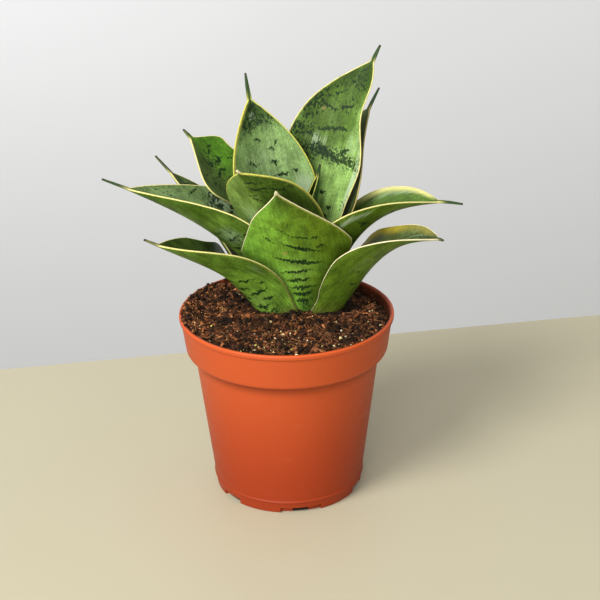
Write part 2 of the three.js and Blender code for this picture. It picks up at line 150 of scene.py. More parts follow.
def circle(radius, sides, height, centre=(0, 0)):
    """Points in metres on a circle given in millimetres; height is a number or depends on x and y."""
    points = []
    for j in range(sides):
        angle = 2 * math.pi * j / sides
        x = centre[0] + radius * math.cos(angle)
        y = centre[1] + radius * math.sin(angle)
        z = height(x, y) if callable(height) else height
        points.append((x * MM, y * MM, z * MM))
    return points


# ---------------------------------------------------------------- materials

class Value:
    """A node's output. Sums and products of it add math nodes to its tree."""

    def __init__(self, nodes, socket):
        self.nodes = nodes
        self.socket = socket

    def __add__(self, other):
        return self.nodes.math("ADD", self, other)

    def __mul__(self, other):
        return self.nodes.math("MULTIPLY", self, other)

    def __neg__(self):
        return self * -1.0

    def __sub__(self, other):
        return self + -other

    def __rsub__(self, other):
        return -self + other

    def __abs__(self):
        return self.nodes.math("ABSOLUTE", self)


class Nodes:
    """A material's node tree, built by short calls that return values."""

    def __init__(self, name):
        self.material = bpy.data.materials.new(name)
        self.material.use_nodes = True
        self.tree = self.material.node_tree
        self.tree.nodes.clear()
        self.shader = self.tree.nodes.new("ShaderNodeBsdfPrincipled")
        output = self.tree.nodes.new("ShaderNodeOutputMaterial")
        self.tree.links.new(self.shader.outputs[0], output.inputs[0])

    def put(self, socket, value):
        if isinstance(value, Value):
            self.tree.links.new(value.socket, socket)
        elif socket.type == "RGBA":
            socket.default_value = (*value, 1)
        else:
            socket.default_value = value

    def set(self, **values):
        for name, value in values.items():
            self.put(self.shader.inputs[name.replace("_", " ")], value)

    def node(self, kind, inputs, output=0, **settings):
        node = self.tree.nodes.new("ShaderNode" + kind)
        for name, value in settings.items():
            setattr(node, name, value)
        for key, value in inputs.items():
            self.put(node.inputs[key], value)
        return Value(self, node.outputs[output])

    def math(self, operation, a, b=0.0):
        return self.node("Math", {0: a, 1: b}, operation=operation)

    def highest(self, a, b):
        return self.math("MAXIMUM", a, b)

    def length(self, x, y):
        return self.math("SQRT", x * x + y * y)

    def step(self, value, low, high, start=0.0, end=1.0):
        return self.node("MapRange", {0: value, 1: low, 2: high, 3: start, 4: end},
                         interpolation_type="SMOOTHSTEP")

    def bell(self, value, middle, width):
        """1 at the middle, falling off over the width to both sides."""
        return self.step(abs(value - middle), 0.0, width, 1.0, 0.0)

    def mix(self, share, a, b):
        return self.node("Mix", {0: share, 6: a, 7: b}, 2, data_type="RGBA", clamp_factor=True)

    def scale(self, colour, factor):
        return self.node("VectorMath", {0: colour, "Scale": factor}, operation="SCALE")

    def vector(self, x, y, z):
        return self.node("CombineXYZ", {0: x, 1: y, 2: z})

    def parts(self, vector):
        x = self.node("SeparateXYZ", {0: vector})
        return [Value(self, socket) for socket in x.socket.node.outputs]

    def attribute(self, name, output):
        return self.node("Attribute", {}, output, attribute_name=name)

    def place(self):
        return self.node("TexCoord", {}, "Object")

    def noise(self, vector, scale, detail=2.0, roughness=0.5):
        return self.node("TexNoise", {"Vector": vector, "Scale": scale, "Detail": detail,
                                      "Roughness": roughness})

    def bump(self, height, strength, distance):
        normal = self.node("Bump", {"Strength": strength, "Distance": distance, "Height": height})
        self.set(Normal=normal)


# ---------------------------------------------------------------- floor and light

def floor_material():
    """A pale table top, dark where the pot's foot shuts the light out."""
    n = Nodes("table_top")
    place = n.place()
    x, y, z = n.parts(place)
    grain = n.noise(place, 900.0, 1.0)
    colour = n.mix(n.noise(place, 6.0, 2.0), (0.465, 0.435, 0.315), (0.49, 0.46, 0.335))
    under = n.step(n.length(x, y), (BASE_RADIUS - 3) * MM, (BASE_RADIUS - 1) * MM, 1.0, 0.0)
    hidden = under * n.step(z, -0.002, -0.001)
    colour = n.scale(colour, n.step(hidden, 0.0, 1.0, 1.0, 0.12))
    n.set(Base_Color=colour, Roughness=n.step(grain, 0.3, 0.7, 0.55, 0.65))
    return n.material


def wall_material():
    n = Nodes("backdrop_wall")
    cloud = n.noise(n.place(), 1.5, 1.0)
    n.set(Base_Color=n.mix(cloud, (0.745, 0.765, 0.79), (0.775, 0.795, 0.82)), Roughness=0.9)
    return n.material


def add_stage():
    side, near = TABLE_HALF_WIDTH, TABLE_NEAR_Y
    corners = [(-side, near, 0), (side, near, 0), (side, TABLE_FAR_Y[1], 0), (-side, TABLE_FAR_Y[0], 0)]
    under = [(x, y, -TABLE_THICKNESS) for x, y, _ in corners]
    faces = [(0, 1, 2, 3), (7, 6, 5, 4), (0, 4, 5, 1), (1, 5, 6, 2), (2, 6, 7, 3), (3, 7, 4, 0)]
    table = mesh_object("table_top", corners + under, faces, floor_material(), smooth=False)
    side, (low, high) = BACKDROP_HALF_WIDTH, BACKDROP_Z
    corners = [(x, BACKDROP_Y, z) for x, z in ((-side, low), (side, low), (side, high), (-side, high))]
    wall = mesh_object("backdrop", corners, [(0, 1, 2, 3)], wall_material(), smooth=False)


def add_lights():
    world = bpy.data.worlds.new("studio")
    world.use_nodes = True
    background = world.node_tree.nodes["Background"]
    background.inputs[0].default_value = WORLD_COLOUR
    background.inputs[1].default_value = WORLD_STRENGTH
    bpy.context.scene.world = world
    for name, (place, target, size, power, colour) in LIGHTS.items():
        data = bpy.data.lights.new(name, "AREA")
        data.shape = "DISK"
        data.size = size
        data.energy = power
        data.color = colour
        lamp = bpy.data.objects.new(name, data)
        lamp.location = place
        lamp.rotation_euler = (Vector(target) - Vector(place)).to_track_quat("-Z", "Y").to_euler()
        bpy.context.scene.collection.objects.link(lamp)
    bpy.context.scene.view_settings.view_transform = "Standard"


# ---------------------------------------------------------------- pot

def body_radius(z):
    return between(BASE_RADIUS, BODY_TOP_RADIUS, z / BODY_TOP_Z)


def collar_radius(z):
    return between(COLLAR_FOOT_RADIUS, RIM_RADIUS, (z - COLLAR_FOOT_Z) / (POT_HEIGHT - COLLAR_FOOT_Z))


def corner(before, at, after, radius, steps=5):
    """Points that round off an outline's corner."""
    a, p, b = Vector(before), Vector(at), Vector(after)
    reach = min(radius, (a - p).length * 0.49, (b - p).length * 0.49)
    start = p + (a - p).normalized() * reach
    end = p + (b - p).normalized() * reach
    points = []
    for i in range(steps + 1):
        t = i / steps
        points.append(tuple(start * (1 - t) ** 2 + p * 2 * t * (1 - t) + end * t * t))
    return points


def rounded(outline):
    """outline holds (radius, z, rounding); the first and last points stay sharp."""
    points = [outline[0][:2]]
    for before, at, after in zip(outline, outline[1:], outline[2:]):
        points += corner(before[:2], at[:2], after[:2], at[2])
    return points + [outline[-1][:2]]


def lathe(name, outline, sides, centre=(0, 0)):
    """A solid of revolution; the outline's first and last points are on the axis."""
    vertices, faces = [], []
    rings = len(outline) - 2
    for radius, z in outline[1:-1]:
        vertices += circle(radius, sides, z, centre)
    low, high = len(vertices), len(vertices) + 1
    vertices += [(centre[0] * MM, centre[1] * MM, z * MM) for _, z in (outline[0], outline[-1])]
    for j in range(sides):
        k = (j + 1) % sides
        faces.append((low, k, j))
        for i in range(rings - 1):
            a, b = i * sides, (i + 1) * sides
            faces.append((a + j, a + k, b + k, b + j))
        last = (rings - 1) * sides
        faces.append((last + j, last + k, high))
    return mesh_object(name, vertices, faces)


def wedge(name, azimuth, half_angle, near, far, steps=8):
    """A sector that reaches from below the pot up to the notches' height."""
    vertices, faces = [], []
    for i in range(steps + 1):
        angle = math.radians(azimuth + half_angle * (2 * i / steps - 1))
        for radius, z in ((near, -2), (far, -2), (far, NOTCH_HEIGHT), (near, NOTCH_HEIGHT)):
            vertices.append((radius * math.cos(angle) * MM, radius * math.sin(angle) * MM, z * MM))
    for i in range(steps):
        for c in range(4):
            d = (c + 1) % 4
            faces.append((4 * i + d, 4 * i + c, 4 * i + 4 + c, 4 * i + 4 + d))
    faces.append((0, 1, 2, 3))
    faces.append((4 * steps + 3, 4 * steps + 2, 4 * steps + 1, 4 * steps))
    return mesh_object(name, vertices, faces, smooth=False)


def cut(target, cutters):
    group = bpy.data.collections.new("cutters")
    for cutter in cutters:
        bpy.context.scene.collection.objects.unlink(cutter)
        group.objects.link(cutter)
    modifier = target.modifiers.new("cut", "BOOLEAN")
    modifier.operation = "DIFFERENCE"
    modifier.solver = "EXACT"
    modifier.operand_type = "COLLECTION"
    modifier.collection = group
    graph = bpy.context.evaluated_depsgraph_get()
    mesh = bpy.data.meshes.new_from_object(target.evaluated_get(graph))
    target.modifiers.clear()
    target.data = mesh
    for cutter in cutters:
        bpy.data.objects.remove(cutter)
    bpy.data.collections.remove(group)


# The pot's colours: two mottled ones at the foot, darkened with painted shade, and two above, paled with a
# painted sheen; then what wear and soil leave on them, and the dust inside with painted shade
POT_FOOT_SHADED = ((0.345, 0.040, 0.0085), (0.380, 0.047, 0.0105))
POT_TOP_SHEEN = ((0.385, 0.061, 0.0145), (0.425, 0.070, 0.0175))
SCUFFED = (0.70, 0.20, 0.085)
STAINED = (0.20, 0.06, 0.03)
INSIDE_DUST_AND_SHADE = (0.038, 0.0095, 0.0040)
SOIL_SPECK = (0.120, 0.052, 0.024)


def pot_material():
    """Heights are in metres, as the node's place is."""
    n = Nodes("terracotta_plastic")
    place = n.place()
    x, y, z = n.parts(place)
    cloud = n.noise(place, 22.0, 3.0)
    grain = n.noise(place, 1500.0, 2.0, 0.6)
    scuff = n.noise(n.vector(x * 90.0, y * 90.0, z * 260.0), 1.0, 4.0, 0.65)
    # Painted shade darkens the foot's colours, and a painted sheen pales the upper ones
    colour = n.mix(n.step(z, 0.010, 0.080), n.mix(cloud, *POT_FOOT_SHADED), n.mix(cloud, *POT_TOP_SHEEN))
    colour = n.mix(n.step(scuff, 0.60, 0.85) * 0.12, colour, SCUFFED)
    stain = n.step(z, 0.0, 0.007, 1.0, 0.0) * n.step(scuff, 0.42, 0.70)
    colour = n.mix(stain * 0.30, colour, STAINED)
    # Painted shade: darker still towards the foot
    colour = n.scale(colour, n.step(z, -0.005, 0.078, 0.70, 1.0))

    # Painted shade in the crease under the collar, a painted highlight on the rim
    crease = n.step(z, 0.0665, 0.0734) * n.step(z, 0.0737, 0.0743, 1.0, 0.0)
    colour = n.scale(colour, crease * -0.42 + 1.0)
    colour = n.scale(colour, n.step(z, 0.0918, 0.0928, 1.0, 1.3))

    # Dark inside the collar, partly dust and partly painted shade, with specks of soil
    taper = (RIM_RADIUS - COLLAR_FOOT_RADIUS) / (POT_HEIGHT - COLLAR_FOOT_Z)
    from_collar = n.length(x, y) + z * -taper + (taper * COLLAR_FOOT_Z - COLLAR_FOOT_RADIUS) * MM
    inside = n.step(from_collar, -0.0013, -0.0006, 1.0, 0.0) * n.step(z, 0.0770, 0.0780)
    colour = n.mix(inside * n.step(z, 0.0905, 0.0929, 1.0, 0.72), colour, INSIDE_DUST_AND_SHADE)
    specks = n.step(n.noise(place, 750.0, 2.0, 0.6), 0.58, 0.64)
    colour = n.mix(inside * specks * 0.6, colour, SOIL_SPECK)
    n.set(Base_Color=colour, Roughness=n.step(scuff, 0.3, 0.8, 0.38, 0.50) + grain * 0.06, IOR=1.48,
          Specular_IOR_Level=0.17)
    n.bump(grain + cloud * 1.5, 0.12, 0.0002)
    return n.material


def add_pot():
    bead_radius = body_radius(BEAD_Z) + BEAD_HEIGHT
    bead_low, bead_high = BEAD_Z - BEAD_HALF_WIDTH, BEAD_Z + BEAD_HALF_WIDTH
    outline = rounded([
        (0, 0, 0),
        (BASE_RADIUS, 0, 0.6),
        (body_radius(bead_low), bead_low, 0.25),
        (bead_radius, BEAD_Z - 0.25, 0.25),
        (bead_radius, BEAD_Z + 0.25, 0.25),
        (body_radius(bead_high), bead_high, 0.25),
        (BODY_TOP_RADIUS, BODY_TOP_Z + 0.35, 0.9),
        (COLLAR_FOOT_RADIUS - 0.1, BODY_TOP_Z + 0.5, 2.2),
        (collar_radius(POT_HEIGHT - 3.0) - 0.45, POT_HEIGHT - 3.0, 0.4),
        (RIM_RADIUS, POT_HEIGHT - 2.2, 0.5),
        (RIM_RADIUS, POT_HEIGHT, 0.95),
        (RIM_RADIUS - 1.9, POT_HEIGHT, 0.8),
        (RIM_RADIUS - 2.1, POT_HEIGHT - 1.8, 0.3),
        (collar_radius(COLLAR_INSIDE_Z) - WALL, COLLAR_INSIDE_Z, 1.5),
        (body_radius(BODY_INSIDE_Z) - WALL, BODY_INSIDE_Z, 0.8),
        (body_radius(FLOOR_TOP_Z) - WALL, FLOOR_TOP_Z, 1.2),
        (0, FLOOR_TOP_Z, 0),
    ])
    pot = lathe("pot_shell", outline, POT_SIDES)
    ring = BASE_RADIUS - FOOT_WIDTH
    cutters = [lathe("cut_under", [(0, -2), (ring, -2), (ring, FLOOR_UNDER_Z), (0, FLOOR_UNDER_Z)],
                     POT_SIDES)]
    drain = [(0, 1), (DRAIN_RADIUS, 1), (DRAIN_RADIUS, 8), (0, 8)]
    for i in range(NOTCH_COUNT):
        azimuth = FIRST_NOTCH_AZIMUTH + 360 * i / NOTCH_COUNT
        cutters.append(wedge(f"cut_notch{i}", azimuth, NOTCH_HALF_ANGLES[i % 2], BASE_RADIUS - 1.8,
                             BASE_RADIUS + 4))
        cutters.append(wedge(f"cut_gap{i}", azimuth, GAP_HALF_ANGLES[i % 2], ring - 1, BASE_RADIUS - 1))
        turn = math.radians(azimuth)
        centre = (DRAIN_CIRCLE_RADIUS * math.cos(turn), DRAIN_CIRCLE_RADIUS * math.sin(turn))
        cutters.append(lathe(f"cut_drain{i}", drain, DRAIN_SIDES, centre))
    cut(pot, cutters)
    pot.data.polygons.foreach_set("use_smooth", [True] * len(pot.data.polygons))
    pot.data.set_sharp_from_angle(angle=math.radians(32))
    pot.data.materials.append(pot_material())
    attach(pot, "root")
    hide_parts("pot")


# ---------------------------------------------------------------- leaves

RIB_THICKNESS = (2.2, 1.9, 1.1)
MARGIN_THICKNESS = 0.65
AWL_WIDTH = 2.6
TIP_WIDTH = 0.8
KEEL = 0.3
KEEL_SHARPNESS = 4.0

# Each leaf's form: foot on a ring round the crown (radius, azimuth), tip, azimuth that its outer side
# faces, rise at foot and tip, full width, where it is widest, length of its awl, curl of its section
# from foot to tip, twist, and how each half widens or narrows: (share, where, how far it fades).
FORMS = {
    "leaf_front": dict(
        foot=(13.2, -84), tip=(-3.5, -35, 165.7), face=-90, rise=(80, 58), width=54, at_foot=0.33,
        widest=0.42, swell=1.6, fall=1.2, awl=3, curl=(74, 44, 26), right=[(0.04, 0.42, 0.25)],
        left=[(-0.25, 0.1, 0.18), (0.03, 0.3, 0.12), (0.2, 0.8, 0.15)]),
    "leaf_front_left_low": dict(
        foot=(22.5, -141), tip=(-65, -20, 138), face=-146, rise=(60, 32), pull=(0.35, 0.45), width=42,
        at_foot=0.85, widest=0.4, awl=8, curl=(100, 100, 80), twist=(21, -12),
        right=[(-0.12, 0, 0.14)], left=[(0.85, 0.25, 0.13), (0.2, 0.4, 0.1)]),
    "leaf_front_right_low": dict(
        foot=(21.5, -33), tip=(74, -15, 134), face=-36, rise=(57, -8), width=44, at_foot=0.75,
        widest=0.5, awl=3, curl=(90, 100, 90), twist=(-8, 19), twist_power=0.7,
        right=[(-0.38, 0.75, 0.25), (0.2, 0.4, 0.15), (0.7, 0.2, 0.12)],
        left=[(-0.18, 0, 0.13), (0.2, 0.5, 0.22)]),
    "leaf_left": dict(
        foot=(14, 188), tip=(-85.5, 0, 161), face=186, rise=(68, 26), pull=(0.36, 0.4), width=56,
        at_foot=0.5, widest=0.38, swell=1.2, fall=1.6, awl=14, curl=(114, 132, 90), twist=(14, -6),
        right=[(-0.6, 0, 0.2), (-0.08, 0.75, 0.2)], left=[(-0.12, 0.72, 0.2), (0.05, 0.5, 0.15)]),
    "leaf_front_left_upper": dict(
        foot=(9.8, -105), tip=(-21, -25, 172.5), face=-105, rise=(80, 45), width=53, at_foot=0.35,
        widest=0.55, swell=1.4, awl=3, curl=(107, 80, 50), right=[(-0.12, 0.62, 0.2), (-0.25, 0, 0.12)],
        left=[(-0.5, 0.15, 0.2), (-0.06, 0.5, 0.15)]),
    "leaf_tall_left": dict(
        foot=(4.8, 130), tip=(-17.7, 20, 205.7), face=112, rise=(86, 85), width=50, at_foot=0.26,
        widest=0.48, swell=1.25, awl=13, curl=(160, 80, 70), right=[(-0.42, 0.3, 0.2)],
        left=[(-0.08, 0.6, 0.2), (-0.25, 0.3, 0.16)]),
    "leaf_tall_right": dict(
        foot=(7.3, 50), tip=(46, 30, 216), face=66, rise=(83.5, 65), width=50, at_foot=0.28,
        widest=0.5, swell=1.5, awl=9, curl=(110, 70, 60), right=[(0.18, 0.75, 0.2), (-0.55, 0.05, 0.22)],
        left=[(-0.62, 0.76, 0.15), (-0.4, 0.42, 0.2), (-0.4, 0.08, 0.2)]),
    "leaf_tall_back": dict(
        foot=(10.8, 40), tip=(47, 51, 190), face=42, rise=(78, 55), width=40, at_foot=0.44, widest=0.5,
        swell=1.3, awl=12, curl=(95, 80, 70),
        left=[(-0.15, 0.1, 0.2), (0.22, 0.5, 0.2), (-0.3, 0.8, 0.15)]),
    "leaf_back_left_upper": dict(
        foot=(9.2, 165), tip=(-49, 30, 176), face=136, rise=(76, 50), width=46, at_foot=0.32, widest=0.5,
        swell=1.4, awl=6, curl=(90, 80, 70), twist=(24, 0), twist_power=0.8,
        right=[(0.46, 0.75, 0.13), (-0.6, 0.15, 0.28), (-0.62, 0.5, 0.15)],
        left=[(-0.35, 0, 0.2), (0.5, 0.88, 0.06), (-0.12, 0.68, 0.12)]),
    "leaf_back_left_lower": dict(
        foot=(22, 164), tip=(-64.5, 42, 159), face=164, rise=(60, 46), width=32, at_foot=0.6,
        widest=0.4, swell=1.3, awl=12, curl=(70, 80, 70), right=[(0.1, 0.75, 0.2), (-0.35, 0.45, 0.15)],
        left=[(-0.5, 0.1, 0.3)]),
    "leaf_right": dict(
        foot=(13.6, -12), tip=(85.5, 10, 143), face=-14, rise=(76, -8), pull=(0.5, 0.45), width=46,
        at_foot=0.5, widest=0.42, swell=1.3, awl=12, curl=(100, 110, 80), twist=(-6, 14),
        right=[(-0.42, 0.15, 0.25), (-0.2, 0.65, 0.2)], left=[(-0.38, 0.08, 0.14), (0.38, 0.42, 0.16)]),
    "leaf_back": dict(
        foot=(22, 108), tip=(-24, 51, 138), face=106, rise=(74, 22), width=40, at_foot=0.7, widest=0.4,
        awl=9, curl=(85, 90, 80), right=[(-0.35, 0.15, 0.3)], left=[(-0.42, 0.4, 0.5)]),
    "leaf_back_right": dict(
        foot=(16.5, 66), tip=(21, 51, 160), face=68, rise=(76, 78), width=32, at_foot=0.65, widest=0.45,
        awl=9, curl=(84, 80, 80), right=[(-0.35, 0.4, 0.4)], left=[(-0.3, 0.3, 0.4)]),
    "leaf_centre_spear": dict(
        foot=(1.2, -40), tip=(17, 15, 162), face=60, rise=(86, 80), width=26, at_foot=0.5, widest=0.4,
        awl=6, curl=(290, 290, 200)),
}


def blade_width(form, s, length):
    awl_start = 1 - form["awl"] / length
    widest = form["widest"]
    rising = np.sin(np.pi / 2 * np.clip(s / widest, 0, 1)) ** form.get("swell", 1.0)
    up = form["width"] * between(form["at_foot"], 1, rising)
    falling = np.clip((s - widest) / (awl_start - widest), 0, 1) ** form.get("fall", 2.0)
    down = between(form["width"], AWL_WIDTH, falling)
    k = np.clip((s - awl_start) / (1 - awl_start), 0, 1)
    awl = AWL_WIDTH * (1 - k) ** 0.8 + TIP_WIDTH * k
    return np.where(s < widest, up, np.where(s < awl_start, down, awl))


def curl_at(curl, s):
    first = between(curl[0], curl[1], 0.5 - 0.5 * np.cos(2 * np.pi * s))
    second = between(curl[1], curl[2], 1 - np.cos(np.pi * (s - 0.5)))
    return np.where(s < 0.5, first, second)


def heading(azimuth, rise):
    return np.stack([np.cos(rise) * np.cos(azimuth), np.cos(rise) * np.sin(azimuth), np.sin(rise)], -1)


MIDRIB_SAMPLES = 600
ROOT_SAMPLES = 64


def midrib(form, distances_of):
    """Points along the midrib at the distances that distances_of(length) asks for."""
    radius, azimuth = form["foot"]
    turn = math.radians(azimuth)
    foot = np.array([CROWN[0] + radius * math.cos(turn), CROWN[1] + radius * math.sin(turn), CROWN_SOIL_Z])
    tip = np.array(form["tip"], float)
    chord = tip - foot
    reach = np.linalg.norm(chord)
    course = math.atan2(chord[1], chord[0])
    low, high = (math.radians(v) for v in form["rise"])
    pull = form.get("pull", (0.4, 0.35))
    p1 = foot + heading(course, low) * reach * pull[0]
    p2 = tip - heading(course, high) * reach * pull[1]
    t = np.linspace(0, 1, MIDRIB_SAMPLES + 1)[:, None]
    curve = (1 - t) ** 3 * foot + 3 * (1 - t) ** 2 * t * p1 + 3 * (1 - t) * t * t * p2 + t ** 3 * tip
    along = np.r_[0, np.cumsum(np.linalg.norm(np.diff(curve, axis=0), axis=1))]
    length = along[-1]
    distances = distances_of(length)
    points, tangents = (np.stack([np.interp(distances, along, table[:, c]) for c in range(3)], -1)
                        for table in (curve, np.gradient(curve, axis=0)))

    # Below the soil, at distances under 0, the midrib turns upright
    upright = math.pi / 2 - low
    bend = ROOTED_DEPTH * upright / math.cos(low)
    for i, distance in enumerate(distances):
        if distance < 0:
            share = -distance / ROOTED_DEPTH
            steps = (np.arange(ROOT_SAMPLES) + 0.5) / ROOT_SAMPLES
            way = heading(course, low + upright * share * steps).sum(axis=0) * bend * share / ROOT_SAMPLES
            points[i] = foot - way
            tangents[i] = heading(course, low + upright * share)
    tangents /= np.linalg.norm(tangents, axis=1)[:, None]
    return points, tangents, distances, length


def half_factor(edges, s):
    return 1 + sum(share * np.exp(-((s - where) / fade) ** 2) for share, where, fade in edges)


SECTION_STEPS = 128


def section_table(curl):
    """Cumulative aside and inward of a curled half of half width 1, and its slope."""
    v = np.linspace(0, 1, SECTION_STEPS + 1)
    keel = np.tanh(KEEL_SHARPNESS * v) / np.tanh(KEEL_SHARPNESS)
    slope = curl[:, None] / 2 * ((1 - KEEL) * v + KEEL * keel)

    def summed(values):
        mid = (values[:, 1:] + values[:, :-1]) / 2 / SECTION_STEPS
        return np.concatenate([np.zeros((len(curl), 1)), np.cumsum(mid, axis=1)], axis=1)

    return v, slope, summed(np.cos(slope)), summed(np.sin(slope))


MARGIN_ROUND = 0.33
MARGIN_TURNS = (90, 62, 34, 0)
INTERIOR_COLUMNS = 13
ROOT_ROWS = 4
BLADE_ROWS = 110
AWL_ROWS = 16
RIPPLE = 0.012


def leaf_rows(form):
    def distances(length):
        blade = length - form["awl"]
        return np.concatenate([np.linspace(-ROOTED_DEPTH, 0, ROOT_ROWS + 1)[:-1],
                               np.linspace(0, blade, BLADE_ROWS),
                               blade + form["awl"] * np.linspace(0, 1, AWL_ROWS)[1:]])
    return distances


def leaf_columns(form, s, half, distances, index):
    """Columns from the left margin to the right one as (offset, reach of that half, share of the
    thickness); each half has its own reach, and columns crowd together round the margins."""
    rows = len(distances)
    ripple = np.array([noise.noise(Vector((d * 0.16, index * 7.3, side * 3.1))) for side in (0, 1)
                       for d in distances]).reshape(2, rows)
    columns = []
    for side, key in ((-1, "left"), (1, "right")):
        reach = half * (half_factor(form.get(key, []), s) * (1 + RIPPLE * ripple[(side + 1) // 2]))
        rounding = np.minimum(MARGIN_ROUND, 0.5 * reach)
        run = []
        for degrees in MARGIN_TURNS:
            turn = math.radians(degrees)
            run.append((side * (reach - rounding + rounding * math.sin(turn)), reach, math.cos(turn)))
        for k in range(INTERIOR_COLUMNS - 1, 0, -1):
            run.append((side * (reach - rounding) * k / INTERIOR_COLUMNS, reach, 1.0))
        columns += run + [(np.zeros(rows), reach, 1.0)] if side < 0 else run[::-1]
    return columns


def add_leaf(name, form, index):
    points, tangents, distances, length = midrib(form, leaf_rows(form))
    rows = len(distances)
    s = np.clip(distances / length, 0, 1)
    face = math.radians(form["face"])
    aside = np.array([-math.sin(face), math.cos(face), 0.0])
    across = aside - (tangents @ aside)[:, None] * tangents
    across /= np.linalg.norm(across, axis=1)[:, None]
    inner = np.cross(tangents, across)
    twist0, twist1 = form.get("twist", (0, 0))
    twist = np.radians(between(twist0, twist1, s ** form.get("twist_power", 1.0)))[:, None]
    across, inner = (across * np.cos(twist) + inner * np.sin(twist),
                     inner * np.cos(twist) - across * np.sin(twist))
    half = blade_width(form, s, length) / 2
    v, slope, sums_aside, sums_inward = section_table(np.radians(curl_at(form["curl"], s)))
    rib = np.where(s < 0.5, between(RIB_THICKNESS[0], RIB_THICKNESS[1], 2 * s),
                   between(RIB_THICKNESS[1], RIB_THICKNESS[2], 2 * s - 1))
    columns = leaf_columns(form, s, half, distances, index)
    count = len(columns)

    places, normals, thickness, shares, margins = [], [], [], [], []
    for offset, reach, full in columns:
        u = np.clip(np.abs(offset) / reach, 0, 1)
        side = np.sign(offset)
        out, rise, tilt = (np.array([np.interp(u[i], v, table[i]) for i in range(rows)])
                           for table in (sums_aside, sums_inward, slope))
        places.append(points + across * (side * (out * reach))[:, None] + inner * (rise * reach)[:, None])
        normals.append(inner * np.cos(tilt)[:, None] - across * (side * np.sin(tilt))[:, None])
        thickness.append(between(rib, MARGIN_THICKNESS, u * u) / 2 * full)
        shares.append(u * side)
        margins.append(reach - np.abs(offset))

    # Each row goes along the outer face and back along the inner one
    vertices, blade, lay = [], [], []
    loop = [(j, False) for j in range(count)] + [(j, True) for j in range(count - 2, 0, -1)]
    for i in range(rows):
        for j, inside in loop:
            at_margin = j in (0, count - 1)
            depth = 0 if at_margin else (1 if inside else -1) * thickness[j][i]
            vertices.append(tuple((places[j][i] + normals[j][i] * depth) * MM))
            blade.append((columns[j][0][i], distances[i], 0.5 if at_margin else float(inside)))
            lay.append((shares[j][i], s[i], margins[j][i]))
    size = len(loop)
    faces = []
    for i in range(rows - 1):
        for j in range(size):
            k = (j + 1) % size
            faces.append((i * size + j, i * size + k, (i + 1) * size + k, (i + 1) * size + j))
    for row, flip in ((0, True), (rows - 1, False)):
        base = row * size
        for j in range(count - 1):
            corners = [base + j, base + j + 1]
            if j + 1 < count - 1:
                corners.append(base + size - (j + 1))
            if j > 0:
                corners.append(base + size - j)
            faces.append(tuple(corners[::-1] if flip else corners))
    material = leaf_material(name, LOOKS[name], index, length, form["awl"])
    leaf = mesh_object(name.replace("leaf", "blade"), vertices, faces, material)
    for label, values in (("blade", blade), ("lay", lay)):
        layer = leaf.data.attributes.new(label, "FLOAT_VECTOR", "POINT")
        layer.data.foreach_set("vector", np.array(values, np.float32).ravel())
    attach(leaf, "root")
    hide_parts(name)
    return leaf


# How each leaf is coloured.
# outer, inner: two greens of a face, and how far the second takes over across and along it.
# Marks lie at a share s of the length and u of the half width, on face 0 (outer) or 1 (inner):
# lines (face, s, u, reach, mm thick, mm of slope), bands (mm apart, [(face, s, reach, u, reach,
# density)]) and zones (kind, face, s, reach, u, reach, amount).
# margin: colour and width of the pale edge; keep: how much of it is left on the awl; hem: from and to
# where near the foot it is narrower, how much, and how dark the painted edge shade makes the green next to
# it.
# fades: wide soft margins (side, width, amount), in fade_colour; fade_ends: where they end, and what
# is left of them. tip: a dark thorn or a pale scab. scar: a healed spot (mm across, mm along, size).
CREAM = (0.68, 0.64, 0.25)
YELLOW = (0.58, 0.56, 0.11)
WHITISH = (0.76, 0.70, 0.44)
FROST = (0.40, 0.50, 0.34)
BLOOM = (0.30, 0.42, 0.22)
SHADE = (0.028, 0.062, 0.008)
GROUND_TINTS = {"fresh": (0.24, 0.42, 0.085), "shade": SHADE, "soil": (0.115, 0.120, 0.020)}
DARK = (0.006, 0.019, 0.007)
HAIRLINE = (0.22, 0.11, 0.04)
THORN = (0.020, 0.050, 0.016)
THORN_POINT = (0.045, 0.030, 0.018)
SCAB = (0.60, 0.54, 0.36)
SOILED = (0.070, 0.045, 0.018)
SCAR = (0.34, 0.20, 0.08)

